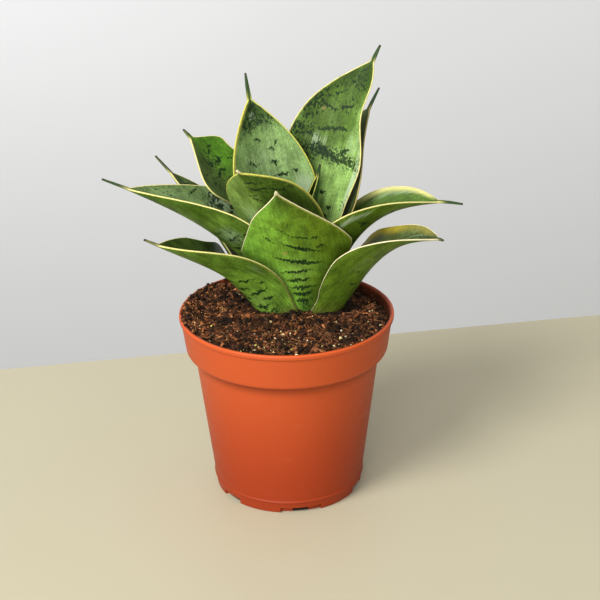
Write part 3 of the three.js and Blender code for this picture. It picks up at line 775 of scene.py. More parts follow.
LOOKS = {
    "leaf_front": dict(
        outer=((0.165, 0.345, 0.036), (0.094, 0.16, 0.01), 0.62, 0.15),
        inner=((0.12, 0.235, 0.035), (0.08, 0.15, 0.022), 0.2, 0.5),
        lines=[(0, 0.63, -0.05, 0.28, 0.55, -21), (0, 0.575, 0.25, 0.18, 0.6, -17),
            (0, 0.57, -0.47, 0.16, 0.6, -17), (0, 0.49, 0.1, 0.4, 1.15, -17),
            (0, 0.37, 0.03, 0.46, 1.35, -9), (0, 0.29, -0.05, 0.38, 0.9, 0),
            (0, 0.225, -0.05, 0.38, 1.0, 0), (0, 0.165, 0.05, 0.5, 1.0, 0), (0, 0.12, 0.0, 0.45, 1.1, 0),
            (0, 0.075, 0.0, 0.45, 1.1, 0), (0, 0.55, 0.46, 0.1, 0.8, 0), (0, 0.465, 0.46, 0.1, 0.8, 0),
            (0, 0.7, 0.02, 0.08, 0.6, 30)], bands=(7.0, [(1, 0.6, 0.3, 0, 1.3, 0.5)]),
        zones=[("shade", 0, 0.96, 0.2, 0.0, 1.5, 0.75), ("dark", 0, 0.05, 0.1, 0.05, 0.6, 0.8),
            ("dark", 0, 0.45, 0.4, 0.1, 0.9, 0.26), ("shade", 0, 0.02, 0.22, 0.2, 0.9, 0.6),
            ("fresh", 0, 0.22, 0.16, -0.7, 0.5, 0.5), ("fresh", 0, 0.3, 0.2, 0.0, 0.4, 0.35)],
        margin=(WHITISH, 0.35), fades=[(1, 1.6, 0.45)], tip="scab", scar=(-4.5, 40, 0.9)),
    "leaf_front_left_low": dict(
        outer=((0.15, 0.29, 0.03), (0.064, 0.125, 0.012), 0.45, 0.9),
        inner=((0.075, 0.145, 0.02), (0.036, 0.062, 0.009), 0.0, 1.4),
        lines=[(0, 0.315, 0.33, 0.28, 0.8, -8), (0, 0.18, 0.3, 0.34, 1.0, 2),
            (0, 0.11, 0.45, 0.22, 0.8, 0), (0, 0.33, -0.1, 0.18, 0.8, 0), (0, 0.24, 0.02, 0.22, 0.9, 3),
            (0, 0.06, 0.1, 0.3, 1.0, 0), (0, 0.24, 0.6, 0.12, 0.6, -12)],
        bands=(6.0, [(0, 0.15, 0.25, -0.3, 0.5, 0.5), (1, 0.5, 0.3, 0, 1.3, 0.3)]),
        zones=[("dark", 0, 0.02, 0.1, 0.2, 0.8, 0.7), ("dark", 0, 0.22, 0.22, 0.4, 0.9, 0.24),
            ("frost", 0, 0.34, 0.16, 0.86, 0.12, 0.5), ("fresh", 0, 0.1, 0.14, 0.1, 0.6, 0.4)],
        margin=(CREAM, 0.42), fades=[(1, 1.3, 0.4)], tip="thorn", keep=0.45, hem=(6, 42, 2.6, 0.35)),
    "leaf_front_right_low": dict(
        outer=((0.094, 0.172, 0.013), (0.066, 0.113, 0.008), -0.1, 0.9),
        inner=((0.08, 0.1, 0.014), (0.062, 0.088, 0.04), 0.0, 0.9),
        bands=(7.0, [(0, 0.3, 0.3, -0.2, 0.8, 0.25)]),
        zones=[("bloom", 0, 0.5, 0.3, -0.5, 0.4, 0.25), ("soil", 0, 0.02, 0.1, -0.2, 1.0, 0.45),
            ("bloom", 1, 0.8, 0.25, 0.2, 0.9, 0.35), ("shade", 1, 0.75, 0.4, 0.0, 0.9, 0.4),
            ("dark", 1, 0.7, 0.3, 0.0, 1.0, 0.25)], margin=(WHITISH, 0.3), fades=[(1, 6.0, 0.95)],
        fade_colour=(0.53, 0.42, 0.04), fade_ends=(0.55, 0.8, 0.3), tip="thorn", keep=0.15,
        hem=(10, 52, 2.8, 0.32)),
    "leaf_left": dict(
        outer=((0.18, 0.3, 0.045), (0.042, 0.086, 0.006), 0.35, 1.5),
        inner=((0.28, 0.42, 0.165), (0.145, 0.23, 0.076), 0.0, 1.6),
        lines=[(0, 0.4, 0.52, 0.22, 0.7, 4), (0, 0.46, 0.35, 0.12, 0.6, 0), (1, 0.6, -0.8, 0.2, 0.6, 8)],
        bands=(6.5, [(0, 0.35, 0.2, 0.5, 0.5, 0.35), (1, 0.42, 0.14, -0.7, 0.8, 0.5)]),
        zones=[("bloom", 0, 0.42, 0.12, 0.5, 0.45, 0.6), ("dark", 1, 0.49, 0.09, -0.8, 0.5, 0.9),
            ("frost", 1, 0.46, 0.14, -0.8, 0.6, 0.8), ("bloom", 1, 0.7, 0.25, -0.6, 0.6, 0.45),
            ("dark", 1, 0.7, 0.16, -0.8, 0.8, 0.5), ("shade", 1, 0.84, 0.14, 0.0, 1.8, 0.5)],
        margin=(CREAM, 0.48), tip="thorn", keep=0.1),
    "leaf_front_left_upper": dict(
        outer=((0.19, 0.3, 0.064), (0.06, 0.108, 0.013), 0.6, 0.7),
        inner=((0.12, 0.19, 0.045), (0.07, 0.12, 0.022), 0.0, 0.6),
        lines=[(0, 0.83, 0.08, 0.36, 0.6, -14), (0, 0.755, -0.05, 0.22, 0.6, -18),
            (0, 0.78, 0.62, 0.22, 0.55, -20), (0, 0.885, 0.3, 0.28, 0.55, -10),
            (0, 0.7, 0.15, 0.16, 0.6, -18), (0, 0.66, -0.7, 0.1, 0.6, 6)],
        bands=(5.0, [(0, 0.84, 0.14, 0.3, 0.8, 0.35), (1, 0.6, 0.3, 0, 1.3, 0.4)]),
        zones=[("bloom", 0, 0.6, 0.18, -0.35, 0.5, 0.55), ("dark", 0, 0.78, 0.12, 0.85, 0.3, 0.5),
            ("shade", 0, 0.93, 0.1, 0.4, 0.8, 0.5)], margin=(YELLOW, 0.52), fades=[(1, 1.5, 0.7)],
        tip="scab"),
    "leaf_tall_left": dict(
        outer=((0.09, 0.155, 0.03), (0.055, 0.105, 0.018), 0.0, 0.6),
        inner=((0.275, 0.425, 0.16), (0.155, 0.262, 0.082), 0.1, 1.0),
        lines=[(1, 0.665, -0.28, 0.12, 0.9, 0), (1, 0.69, -0.46, 0.09, 0.8, -8),
            (1, 0.61, -0.22, 0.12, 1.0, 0), (1, 0.635, 0.32, 0.2, 0.6, 6), (1, 0.55, -0.3, 0.2, 0.9, 0),
            (1, 0.55, -0.63, 0.08, 0.8, 0), (1, 0.715, 0.05, 0.16, 0.7, 10),
            (1, 0.775, 0.05, 0.9, 0.5, -3), (1, 0.82, 0.1, 0.8, 0.5, 0)],
        bands=(9.0, [(0, 0.6, 0.4, 0, 1.3, 0.5)]),
        zones=[("dark", 1, 0.8, 0.075, 0.0, 2.2, 1.0), ("shade", 1, 0.845, 0.13, -0.1, 2.8, 1.0),
            ("dark", 1, 0.86, 0.07, 0.0, 2.6, 1.0), ("frost", 1, 0.825, 0.035, 0.1, 0.35, 0.9),
            ("frost", 1, 0.46, 0.14, -0.75, 0.5, 1.0), ("frost", 1, 0.5, 0.16, 0.0, 0.8, 0.7),
            ("bloom", 1, 0.64, 0.12, 0.1, 0.9, 0.5)], margin=(YELLOW, 0.5), fades=[(1, 2.8, 0.9)],
        tip="thorn", keep=0.05),
    "leaf_tall_right": dict(
        outer=((0.085, 0.15, 0.028), (0.055, 0.105, 0.018), 0.0, 0.6),
        inner=((0.275, 0.455, 0.125), (0.058, 0.112, 0.015), 0.25, 1.5),
        lines=[(1, 0.73, 0.65, 0.32, 0.65, 5), (1, 0.75, 0.12, 0.38, 0.8, -14),
            (1, 0.66, 0.18, 0.42, 0.85, -8), (1, 0.556, 0.0, 1.2, 1.1, 1),
            (1, 0.595, -0.25, 0.18, 1.2, -6), (1, 0.575, 0.3, 0.25, 1.1, 4), (1, 0.9, 0.2, 0.5, 0.6, -8),
            (1, 0.865, -0.2, 0.3, 0.55, -6), (1, 0.42, 0.1, 0.12, 0.8, 0), (1, 0.37, -0.22, 0.14, 0.9, 0),
            (1, 0.33, -0.15, 0.16, 0.9, 0), (1, 0.79, 0.55, 0.2, 0.6, -10)],
        bands=(9.0, [(0, 0.6, 0.4, 0, 1.3, 0.5)]),
        zones=[("dark", 1, 0.562, 0.064, 0.0, 2.2, 1.0), ("dark", 1, 0.62, 0.07, 0.8, 0.6, 0.9),
            ("frost", 1, 0.6, 0.055, 0.45, 0.45, 0.7), ("frost", 1, 0.5, 0.28, -0.9, 0.24, 1.0),
            ("dark", 1, 0.73, 0.16, 0.9, 0.6, 0.9), ("dark", 1, 0.85, 0.08, 0.1, 1.4, 0.8),
            ("shade", 1, 0.89, 0.12, 0.0, 2.2, 0.9), ("dark", 1, 0.78, 0.24, 0.0, 1.8, 0.34),
            ("dark", 1, 0.4, 0.1, -0.9, 0.4, 0.5), ("dark", 1, 0.66, 0.05, 0.1, 0.8, 0.35),
            ("bloom", 1, 0.62, 0.1, -0.5, 0.6, 0.5)], margin=(CREAM, 0.36), fades=[(1, 1.0, 0.4)],
        tip="thorn", keep=0.1, scar=(13.5, 94, 0.35)),
    "leaf_tall_back": dict(
        # Both faces are darkened with painted shade, as this leaf stands in the shadow of leaf_tall_right
        outer=((0.05, 0.085, 0.014), (0.07, 0.115, 0.022), 0.0, 0.6),
        inner=((0.036, 0.052, 0.01), (0.055, 0.078, 0.026), 0.0, 0.8),
        bands=(8.0, [(0, 0.6, 0.4, 0, 1.3, 0.5), (1, 0.6, 0.4, 0, 1.3, 0.4)]), zones=[],
        margin=((0.4, 0.34, 0.12), 0.3), tip="thorn", keep=0.0),
    "leaf_back_left_upper": dict(
        outer=((0.095, 0.185, 0.024), (0.06, 0.12, 0.015), 0.0, 0.6),
        inner=((0.062, 0.165, 0.011), (0.094, 0.16, 0.034), 0.75, 0.1),
        lines=[(1, 0.78, 0.05, 0.3, 0.7, 8), (1, 0.66, -0.45, 0.14, 1.0, 0),
            (1, 0.84, -0.2, 0.3, 0.6, -8), (1, 0.6, 0.15, 0.16, 0.8, 0), (1, 0.56, -0.15, 0.2, 0.8, 4),
            (1, 0.7, 0.45, 0.14, 0.6, 0)],
        bands=(6.0, [(1, 0.7, 0.3, 0, 1.3, 0.35), (0, 0.5, 0.4, 0, 1.3, 0.5)]),
        zones=[("shade", 1, 0.88, 0.12, -0.3, 1.2, 0.5), ("dark", 1, 0.8, 0.12, 0.1, 0.7, 0.6),
            ("dark", 1, 0.68, 0.25, 0.0, 1.6, 0.25), ("bloom", 1, 0.84, 0.14, 0.75, 0.4, 0.3)],
        margin=(CREAM, 0.45), fades=[(1, 1.3, 0.6)], tip="thorn", keep=0.3),
    "leaf_back_left_lower": dict(
        outer=((0.14, 0.27, 0.034), (0.075, 0.15, 0.016), 0.2, 0.8),
        inner=((0.08, 0.13, 0.04), (0.046, 0.078, 0.022), 0.2, 0.8),
        bands=(6.0, [(0, 0.4, 0.4, 0, 1.3, 0.35), (1, 0.6, 0.4, 0, 1.3, 0.5)]),
        zones=[("dark", 1, 0.72, 0.12, -0.3, 0.8, 0.6)], margin=(CREAM, 0.42), tip="thorn", keep=0.2),
    "leaf_right": dict(
        outer=((0.098, 0.172, 0.01), (0.068, 0.122, 0.01), 0.1, 0.9),
        inner=((0.05, 0.125, 0.014), (0.085, 0.15, 0.03), 0.6, 0.4),
        lines=[(0, 0.52, -0.55, 0.2, 0.6, 6), (0, 0.4, -0.3, 0.2, 0.6, 0)],
        bands=(7.0, [(0, 0.5, 0.4, -0.3, 0.9, 0.2), (1, 0.6, 0.3, 0, 1.3, 0.15)]),
        zones=[("frost", 0, 0.5, 0.14, -0.84, 0.16, 0.8), ("frost", 1, 0.66, 0.24, 0.72, 0.22, 0.6)],
        margin=(CREAM, 0.5), fades=[(1, 4.0, 0.95)], fade_colour=(0.64, 0.62, 0.24), tip="thorn",
        keep=0.05),
    "leaf_back": dict(
        outer=((0.13, 0.245, 0.03), (0.07, 0.135, 0.016), 0.3, 0.7),
        inner=((0.1, 0.175, 0.035), (0.07, 0.125, 0.025), 0.0, 0.6),
        lines=[(0, 0.55, 0.1, 0.5, 0.9, -6), (0, 0.44, 0.0, 0.5, 1.1, 5), (0, 0.33, 0.1, 0.6, 1.2, 0),
            (0, 0.24, 0.0, 0.6, 1.0, 3), (0, 0.68, -0.2, 0.4, 0.7, 8)],
        bands=(7.0, [(0, 0.2, 0.3, 0, 1.1, 0.5), (1, 0.6, 0.3, 0, 1.3, 0.5)]),
        zones=[("bloom", 0, 0.6, 0.2, 0.3, 0.6, 0.5), ("shade", 0, 0.95, 0.2, 0, 1.5, 0.6)],
        margin=(CREAM, 0.52), tip="thorn"),
    "leaf_back_right": dict(
        outer=((0.12, 0.22, 0.03), (0.075, 0.14, 0.018), -0.3, 0.8),
        inner=((0.1, 0.17, 0.035), (0.065, 0.115, 0.025), 0.0, 0.6),
        lines=[(0, 0.7, 0.0, 0.8, 1.4, 2), (0, 0.58, 0.1, 0.5, 0.8, -6), (0, 0.46, -0.1, 0.6, 1.1, 4),
            (0, 0.35, 0.0, 0.5, 0.9, 0)],
        bands=(7.0, [(0, 0.3, 0.4, 0, 1.2, 0.5), (1, 0.6, 0.3, 0, 1.3, 0.5)]),
        zones=[("dark", 0, 0.7, 0.1, 0.0, 1.2, 0.9), ("frost", 0, 0.6, 0.12, 0.2, 0.5, 0.5)],
        margin=(YELLOW, 0.52), tip="thorn"),
    "leaf_centre_spear": dict(
        outer=((0.042, 0.1, 0.018), (0.026, 0.064, 0.014), 0.0, 0.8),
        inner=((0.05, 0.1, 0.02), SHADE, 0, 0), bands=(5.0, [(0, 0.6, 0.5, 0, 1.6, 0.6)]),
        zones=[("frost", 0, 0.62, 0.25, 0.2, 0.9, 0.55), ("dark", 0, 0.5, 0.3, 0, 1.5, 0.5)],
        margin=(YELLOW, 0.08), tip="thorn", keep=0.0),
}


def leaf_material(name, look, index, length, awl):
    """x and y are millimetres across and along the blade, u and s the same as shares."""
    n = Nodes(name.replace("leaf", "blade"))
    x, y, inside = n.parts(n.attribute("blade", "Vector"))
    u, s, margin = n.parts(n.attribute("lay", "Vector"))
    is_inner = n.step(inside, 0.4, 0.6)
    on_face = (1.0 - is_inner, is_inner)
    shift = inside * 40.0 + index * 17.3

    def field(across, along, detail=2.0, roughness=0.5):
        """Noise about 0, stretched along the blade."""
        return n.noise(n.vector(x * across, y * along, shift), 1.0, detail, roughness) - 0.5

    fibre = field(2.8, 0.06, 2.0, 0.6)
    streak = field(0.9, 0.03, 3.0, 0.6)
    cloud = field(0.10, 0.06)
    grain = field(2.3, 1.0, 2.0, 0.7)
    tooth = field(1.7, 0.10, 1.0)
    patch = field(0.22, 0.14)
    blot = field(0.80, 0.60, 2.0, 0.65)

    # Ground: two greens of each face that drift into each other
    greens = []
    for key in ("outer", "inner"):
        first, second, over_u, over_s = look[key]
        drift = cloud * 1.3 + (u * over_u + (s - 0.5) * over_s)
        greens.append(n.mix(n.step(drift, -0.5, 0.5), first, second))
    ground = n.mix(is_inner, *greens)

    # Zones: soft ones tint the ground; bloom, frost and dark ones are mottled
    mottled = {}
    for kind, side, where, long, middle, wide, amount in look["zones"]:
        here = n.bell(s, where, long) * n.bell(u, middle, wide) * (on_face[side] * amount)
        if kind in GROUND_TINTS:
            ground = n.mix(here, ground, GROUND_TINTS[kind])
        else:
            mottled[kind] = n.highest(mottled.get(kind, 0.0), here)
    for value, reach, low, high in ((streak, 0.22, 0.84, 1.17), (patch + blot * 0.4, 0.22, 0.76, 1.26),
                                    (fibre, 0.25, 0.88, 1.13), (grain, 0.22, 0.70, 1.30)):
        ground = n.scale(ground, n.step(value, -reach, reach, low, high))
    if "bloom" in mottled:
        cover = n.step(mottled["bloom"] + (blot * 0.9 + streak * 0.7), 0.15, 0.85)
        ground = n.mix(cover * 0.75, ground, BLOOM)
    if "frost" in mottled:
        cover = n.step(mottled["frost"] + (fibre * 1.3 + streak * 1.3), 0.30, 0.90)
        ground = n.mix(cover * 0.72, ground, FROST)

    # Dark marks: a few lone flecks, toothed lines, periodic bands and crowded flecks
    wander = tooth * 3.4 + (patch * 4.0 + blot * 1.6)
    nibble = blot * 3.6 + grain * 2.2
    darkness = n.step(blot + grain * 0.5, 0.25, 0.30) * 0.7
    for side, where, middle, wide, thick, slope in look.get("lines", []):
        level = y + wander + (u * -slope + (slope * middle - where * length))
        reach = n.bell(u, middle, wide * 1.25)
        depth = reach * (thick * 1.35) - abs(level)
        mark = n.step(depth + nibble, 0.0, 0.35) * n.step(reach, 0.05, 0.2)
        darkness = n.highest(darkness, mark * on_face[side])
    spacing, reaches = look["bands"]
    density = 0.0
    for side, where, long, middle, wide, amount in reaches:
        here = n.bell(s, where, long) * (n.bell(u, middle, wide) * (on_face[side] * amount))
        density = n.highest(density, here)
    level = y + wander * 1.2 + cloud * 16.0
    wave = n.math("COSINE", level * (2 * math.pi / spacing))
    ridge = wave * 0.30 + (patch * 1.2 + nibble * 0.16)
    band = n.step(ridge + density, 0.52, 0.60) * n.step(density, 0.02, 0.12)
    darkness = n.highest(darkness, band)
    if "dark" in mottled:
        crowd = mottled["dark"] * 0.52 + (blot * 1.7 + grain * 1.1)
        crowd = n.step(crowd, 0.33, 0.43) * n.step(mottled["dark"], 0.04, 0.25)
        darkness = n.highest(darkness, crowd)
    ground = n.mix(darkness * n.step(fibre, -0.2, 0.2, 1.0, 0.88), ground, DARK)

    # Soft wide margins, then the pale line along the edge itself with dark hairlines along it and painted
    # edge shade darkening the green next to it
    awl_start = length - awl
    thorny = look["tip"] == "thorn"
    for side, width, amount in look.get("fades", []):
        on_side = n.step(u * side, 0.0, 0.15)
        fade = n.step(margin + streak * (width * 0.6), 0.2, width, 1.0, 0.0) * (on_side * amount)
        fade = fade * n.step(y, awl_start - 6.0, awl_start + 1.0, 1.0, 0.0 if thorny else 1.0)
        if "fade_ends" in look:
            start, end, rest = look["fade_ends"]
            fade = fade * n.step(s, start, end, 1.0, rest)
        tint = n.scale(look.get("fade_colour", YELLOW), n.step(grain, -0.2, 0.2, 0.9, 1.1))
        ground = n.mix(fade, ground, tint)
    colour, width = look["margin"]
    low, high, narrower, green = look.get("hem", (0.0, 12.0, 1.3, 0.60))
    # Painted edge shade: the green next to the pale line is darkened, most near the foot
    painted_edge_shade = n.step(margin, width * 1.05, width * 1.9, n.step(y, low, high, green, 0.66), 1.0)
    ground = n.scale(ground, painted_edge_shade)
    edge = margin * n.step(y, low, high, narrower, 1.0)
    edge = n.step(edge + streak * 0.35, width * 0.80, width * 1.10, 1.0, 0.0)
    kept = look.get("keep", 0.3) if thorny else 1.0
    edge = edge * n.step(y, awl_start - 1.0, length - awl * 0.5, 1.0, kept)
    ground = n.mix(edge, ground, n.mix(n.step(blot, 0.02, 0.22), colour, n.scale(colour, 0.60)))
    hair = n.step(margin, 0.02, 0.16, 1.0, 0.0) * n.step(patch, -0.02, 0.12)
    ground = n.mix(hair * 0.35, ground, HAIRLINE)

    # Tip: a dark drying thorn or a blunt pale scab; the foot is soiled
    if thorny:
        thorn = n.step(y, awl_start - 2.0, awl_start + 4.0) * (edge * -0.8 + 0.9)
        ground = n.mix(thorn, ground, THORN)
        ground = n.mix(n.step(y, length - 1.4, length - 0.3), ground, THORN_POINT)
    else:
        scab = n.step(y + blot * 2.0, length - 2.4, length - 1.4)
        ground = n.mix(scab * 0.85, ground, SCAB)
    soiled = n.step(y + blot * 5.0, -2.5, 0.8, 1.0, 0.0)
    ground = n.mix(soiled * 0.5, ground, SOILED)
    if "scar" in look:
        scar_x, scar_y, size = look["scar"]
        away = n.length(x - scar_x, y - scar_y)
        mark = n.step(away + blot * 3.0, size, size + 1.0, 1.0, 0.0)
        ground = n.mix(mark * 0.42, ground, SCAR)

    n.set(Base_Color=ground, Roughness=n.step(grain, -0.2, 0.2, 0.42, 0.56) + edge * 0.08, IOR=1.45,
          Specular_IOR_Level=0.17)
    n.bump(fibre * 1.2 + (streak * 0.8 + grain * 0.5), 0.25, 0.0003)
    return n.material


# ---------------------------------------------------------------- soil

SOIL_MEAN_Z = 89.2
SOIL_TILT = 1.9
SOIL_LOW_AZIMUTH = 20
SOIL_MOUND = 1.6
SOIL_MOUND_RADIUS = 24
SOIL_GAP = 0.3
SOIL_RINGS = 130
SOIL_SIDES = 260
HEAP_AZIMUTH = 166
HEAP_HALF_ANGLE = 50
HEAP_HEIGHT = 2.6
RIM_INSIDE_RADIUS = 49.9
TRIES_PER_GRAIN = 40
FIBRE_STEPS = 7

# Each soil material's dark, middle and light tints and its greatest roughness
SOIL_LOOKS = {
    "peat": ((0.008, 0.003, 0.002), (0.022, 0.009, 0.004), (0.055, 0.022, 0.008), 0.9),
    "peat_crumbs": ((0.006, 0.0025, 0.0015), (0.032, 0.012, 0.005), (0.190, 0.071, 0.023), 0.9),
    "peat_clods": ((0.012, 0.0045, 0.002), (0.034, 0.013, 0.005), (0.080, 0.032, 0.011), 0.9),
    "bark": ((0.035, 0.010, 0.004), (0.120, 0.036, 0.012), (0.430, 0.165, 0.060), 0.8),
    "fibre": ((0.026, 0.009, 0.004), (0.095, 0.034, 0.012), (0.380, 0.170, 0.065), 0.8),
    "perlite": ((0.50, 0.45, 0.10), (0.80, 0.64, 0.33), (0.92, 0.84, 0.58), 0.85),
}


def soil_height(x, y):
    """The height of the solid's soil at a point, in millimetres."""
    low = math.radians(SOIL_LOW_AZIMUTH)
    tilt = -SOIL_TILT * (x * math.cos(low) + y * math.sin(low)) / RIM_RADIUS
    from_crown = math.hypot(x - CROWN[0], y - CROWN[1]) / SOIL_MOUND_RADIUS
    bumps = math.sin(0.31 * x + 1.3) * math.sin(0.27 * y - 0.4)
    bumps += 0.7 * math.sin(0.53 * y + 0.22 * x) * math.cos(0.47 * x - 0.9)
    return SOIL_MEAN_Z + tilt + SOIL_MOUND * math.exp(-from_crown ** 4) + 0.5 * bumps


def in_heap(x, y):
    """1 in the middle of the stretch at the back left where soil is heaped against the rim, else 0."""
    off = abs((math.degrees(math.atan2(y, x)) - HEAP_AZIMUTH + 180) % 360 - 180)
    return max(0.0, 1 - (off / HEAP_HALF_ANGLE) ** 2)


def relief(x, y):
    """Broad and fine roughness of the soil, in millimetres."""
    big = noise.fractal(Vector((x * 0.11, y * 0.11, 3.0)), 1.0, 2.0, 3)
    fine = noise.fractal(Vector((x * 0.50, y * 0.50, 9.0)), 0.8, 2.1, 3)
    return 0.9 * big, 0.95 * fine


def rough_height(x, y):
    towards_rim = min(1.0, max(0.0, (math.hypot(x, y) - 36) / 13)) ** 2
    return soil_height(x, y) + sum(relief(x, y)) + HEAP_HEIGHT * in_heap(x, y) * towards_rim


def heap_height(x, y):
    """The soil, or the rim's top where loose crumbs have come to rest on it."""
    return POT_HEIGHT - 0.15 if math.hypot(x, y) > RIM_INSIDE_RADIUS else rough_height(x, y)


def soil_material(name):
    """Browns chosen by a tint kept on each grain, with a fine dark grain, and painted light on the left.
    """
    dark, middle, light, roughness = SOIL_LOOKS[name]
    n = Nodes(name)
    place = n.place()
    tint = n.attribute("tint", "Fac")
    fine = n.noise(place, 1700.0, 3.0, 0.65)
    broad = n.noise(place, 160.0, 3.0, 0.6)
    colour = n.mix(n.step(tint, 0.0, 0.45), dark, middle)
    colour = n.mix(n.step(tint, 0.45, 1.0), colour, light)
    colour = n.scale(colour, n.step(broad, 0.32, 0.68, 0.22, 1.55))
    colour = n.scale(colour, n.step(fine, 0.3, 0.7, 0.6, 1.4))
    # Painted light: lighter on the left, where the key lamp stands
    painted_light_left = n.step(n.parts(place)[0] + broad * 0.02, -0.030, 0.010, 1.45, 1.0)
    colour = n.scale(colour, painted_light_left)
    n.set(Base_Color=colour, Roughness=n.step(fine, 0.3, 0.7, roughness - 0.12, roughness),
          Specular_IOR_Level=0.2)
    n.bump(fine, 0.6, 0.0004)
    return n.material


def soil_bed():
    """The rough filling, from the middle of its top out to the wall and down to the pot's floor."""
    edge = collar_radius(SOIL_MEAN_Z - 2.5) - WALL - SOIL_GAP
    vertices, faces = [(0, 0, rough_height(0, 0) * MM)], []
    for i in range(1, SOIL_RINGS + 1):
        vertices += circle(edge * i / SOIL_RINGS, SOIL_SIDES, rough_height)
    below = [(collar_radius(COLLAR_INSIDE_Z), COLLAR_INSIDE_Z + SOIL_GAP),
             (body_radius(BODY_INSIDE_Z), BODY_INSIDE_Z + SOIL_GAP),
             (body_radius(FLOOR_TOP_Z + 1), FLOOR_TOP_Z + 1 + SOIL_GAP),
             (body_radius(FLOOR_TOP_Z) - 1, FLOOR_TOP_Z + SOIL_GAP)]
    for radius, z in below:
        vertices += circle(radius - WALL - SOIL_GAP, SOIL_SIDES, z)
    total = SOIL_RINGS + len(below)
    bottom = len(vertices)
    vertices.append((0, 0, (FLOOR_TOP_Z + SOIL_GAP) * MM))

    def at(ring, j):
        return 1 + (ring - 1) * SOIL_SIDES + j % SOIL_SIDES

    for j in range(SOIL_SIDES):
        faces.append((0, at(1, j), at(1, j + 1)))
        faces.append((bottom, at(total, j + 1), at(total, j)))
        for i in range(1, total):
            faces.append((at(i, j), at(i + 1, j), at(i + 1, j + 1), at(i, j + 1)))
    bed = mesh_object("soil_bed", vertices, faces, soil_material("peat"))
    # Painted shade and light: the tint follows the fine relief, so hollows are darker and peaks lighter
    keep_tint(bed, [0.42 + 0.7 * relief(v.co.x / MM, v.co.y / MM)[1] for v in bed.data.vertices])
    return bed


def icosphere(level):
    mesh = bpy.data.meshes.new("ball")
    bm = bmesh.new()
    bmesh.ops.create_icosphere(bm, subdivisions=level, radius=1.0)
    bm.to_mesh(mesh)
    bm.free()
    points = np.array([v.co[:] for v in mesh.vertices])
    faces = np.array([p.vertices[:] for p in mesh.polygons])
    bpy.data.meshes.remove(mesh)
    return points, faces


def scattered(name, material, rng, ball, count, radius_of, squash_of, clear, sink=0.25, tilt=0.6,
              lumpy=0.35, accept=None, near=0.0, limit=50.2, height=rough_height):
    """Many irregular grains lying on the soil, joined in one mesh, each with a tint of its own."""
    points, faces = ball
    vertices, polygons, tints = [], [], []
    placed = 0
    for _ in range(count * TRIES_PER_GRAIN):
        if placed == count:
            break
        angle = rng.uniform(0, 2 * math.pi)
        radius = math.sqrt(rng.uniform(near ** 2, limit ** 2))
        x, y = radius * math.cos(angle), radius * math.sin(angle)
        size = radius_of(rng)
        if accept and not accept(x, y, rng):
            continue
        stretch = squash_of(rng)
        longest = size * max(stretch)
        if radius + longest * 0.8 > limit or not clear(x, y, longest):
            continue
        wobble = Vector((rng.random() * 50, rng.random() * 50, rng.random() * 50))
        shape = np.array([p * (1 + lumpy * noise.noise(Vector(p) * 1.6 + wobble)) for p in points])
        shape *= np.array(stretch) * size
        turn = Matrix.Rotation(rng.uniform(-tilt, tilt), 3, "X")
        turn = turn @ Matrix.Rotation(rng.uniform(-tilt, tilt), 3, "Y")
        turn = Matrix.Rotation(rng.uniform(0, 2 * math.pi), 3, "Z") @ turn
        shape = shape @ np.array(turn).T
        z = height(x, y) + size * min(stretch) * (1 - 2 * sink)
        start = len(vertices)
        vertices += [((px + x) * MM, (py + y) * MM, (pz + z) * MM) for px, py, pz in shape]
        polygons += [tuple(int(i) + start for i in face) for face in faces]
        tints += [rng.random()] * len(points)
        placed += 1
    obj = mesh_object(name, vertices, polygons, material, smooth=False)
    keep_tint(obj, tints)
    return obj


def fibres(rng, count, clear):
    """Thin curved roots and fibres lying over the soil, three-sided and tapered."""
    vertices, polygons, tints = [], [], []
    placed = 0
    while placed < count:
        angle = rng.uniform(0, 2 * math.pi)
        radius = 49 * math.sqrt(rng.random())
        x, y = radius * math.cos(angle), radius * math.sin(angle)
        length = rng.choice((2.0, 3.0, 4.0, 6.0, 10.0)) * rng.uniform(0.8, 1.25)
        course = rng.uniform(0, 2 * math.pi)
        bend = rng.uniform(-0.35, 0.35)
        thick = rng.uniform(0.07, 0.22)
        lift = rng.uniform(0.1, 1.1)
        path = []
        for i in range(FIBRE_STEPS + 1):
            x += math.cos(course) * length / FIBRE_STEPS
            y += math.sin(course) * length / FIBRE_STEPS
            course += bend + rng.uniform(-0.12, 0.12)
            arch = lift * math.sin(math.pi * i / FIBRE_STEPS)
            path.append((x, y, rough_height(x, y) + 0.15 + arch))
        if any(math.hypot(px, py) > 49.8 or not clear(px, py, 0.3) for px, py, _ in path):
            continue
        tint = rng.random()
        start = len(vertices)
        side = course + math.pi / 2
        for i, (px, py, pz) in enumerate(path):
            size = thick * (0.35 + 0.65 * math.sin(math.pi * (0.12 + 0.8 * i / FIBRE_STEPS)))
            for turn in (0, 120, 240):
                out = math.cos(math.radians(turn)) * size
                up = math.sin(math.radians(turn)) * size
                vertices.append(((px + math.cos(side) * out) * MM, (py + math.sin(side) * out) * MM,
                                 (pz + up) * MM))
                tints.append(tint)
        for i in range(FIBRE_STEPS):
            for c in range(3):
                a, b = start + 3 * i + c, start + 3 * i + (c + 1) % 3
                polygons.append((a, b, b + 3, a + 3))
        polygons.append((start + 2, start + 1, start))
        top = start + 3 * FIBRE_STEPS
        polygons.append((top, top + 1, top + 2))
        placed += 1
    obj = mesh_object("soil_fibres", vertices, polygons, soil_material("fibre"))
    keep_tint(obj, tints)
    return obj


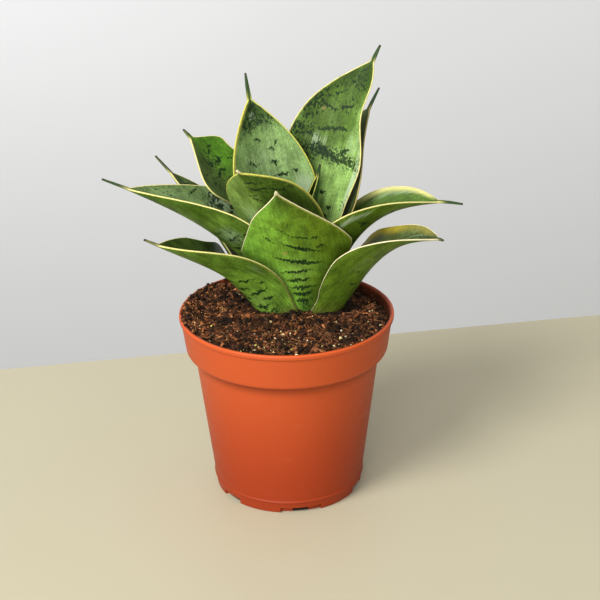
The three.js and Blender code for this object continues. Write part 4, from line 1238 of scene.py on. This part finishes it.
def add_soil(leaves):
    feet = [v.co / MM for leaf in leaves for v in leaf.data.vertices if 0.086 < v.co.z < 0.095]
    tree = KDTree(len(feet))
    for i, p in enumerate(feet):
        tree.insert((p.x, p.y, 0), i)
    tree.balance()

    def clear(x, y, size):
        """Whether a grain of this size keeps off the leaves' feet."""
        return tree.find((x, y, 0))[2] > 0.5 + size * 0.75

    def squash(y_low, z_low, z_high):
        return lambda r: (1, r.uniform(y_low, 1), r.uniform(z_low, z_high))

    def crumb_size(r):
        return r.choice((0.3, 0.4, 0.5, 0.7, 1.05)) * r.uniform(0.8, 1.25)

    def perlite_shows(x, y, r):
        return r.random() < (0.95 if y < -18 and x > -25 else 0.16)

    rng = random.Random(SEED)
    bed = soil_bed()
    small, large = icosphere(1), icosphere(2)
    crumb_look = soil_material("peat_crumbs")
    crumb_shape = squash(0.6, 0.5, 0.9)
    crumbs = scattered("soil_crumbs", crumb_look, rng, small, 4600, crumb_size, crumb_shape, clear)
    heap = scattered("soil_heap", crumb_look, rng, small, 420, crumb_size, crumb_shape, clear, near=45.5,
                     limit=52.2, accept=lambda x, y, r: r.random() < in_heap(x, y), height=heap_height)
    clods = scattered("soil_clods", soil_material("peat_clods"), rng, large, 240,
                      lambda r: r.uniform(0.9, 2.1), squash(0.7, 0.5, 0.8), clear, sink=0.40, lumpy=0.7)
    bark = scattered("soil_bark", soil_material("bark"), rng, large, 420, lambda r: r.uniform(1.0, 3.7),
                     lambda r: (1, r.choice((0.12, 0.18, 0.3, 0.45)), r.uniform(0.09, 0.2)), clear,
                     sink=0.1, tilt=0.5, lumpy=0.5)
    strands = fibres(rng, 1500, clear)
    perlite = scattered("soil_perlite", soil_material("perlite"), rng, large, 300,
                        lambda r: r.choice((0.22, 0.28, 0.35, 0.45, 0.65)) * r.uniform(0.8, 1.2),
                        squash(0.7, 0.6, 0.9), clear, sink=0.05, lumpy=0.5, accept=perlite_shows)
    for piece in (bed, crumbs, heap, clods, bark, strands, perlite):
        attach(piece, "root")
    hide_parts("soil")


# ---------------------------------------------------------------- rhizome

def dress_rhizome():
    """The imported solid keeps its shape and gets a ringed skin."""
    n = Nodes("rhizome_skin")
    x, y, z = n.parts(n.place())
    rings = n.noise(n.vector(x * 60.0, y * 60.0, z * 900.0), 1.0, 3.0)
    colour = n.mix(n.step(rings, 0.35, 0.65), (0.42, 0.22, 0.07), (0.60, 0.38, 0.15))
    n.set(Base_Color=colour, Roughness=0.7)
    n.bump(rings, 0.4, 0.0005)
    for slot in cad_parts["rhizome"].material_slots:
        slot.material = n.material


add_camera()
add_stage()
add_lights()
add_pot()
blades = [add_leaf(name, form, index) for index, (name, form) in enumerate(FORMS.items())]
add_soil(blades)
dress_rhizome()
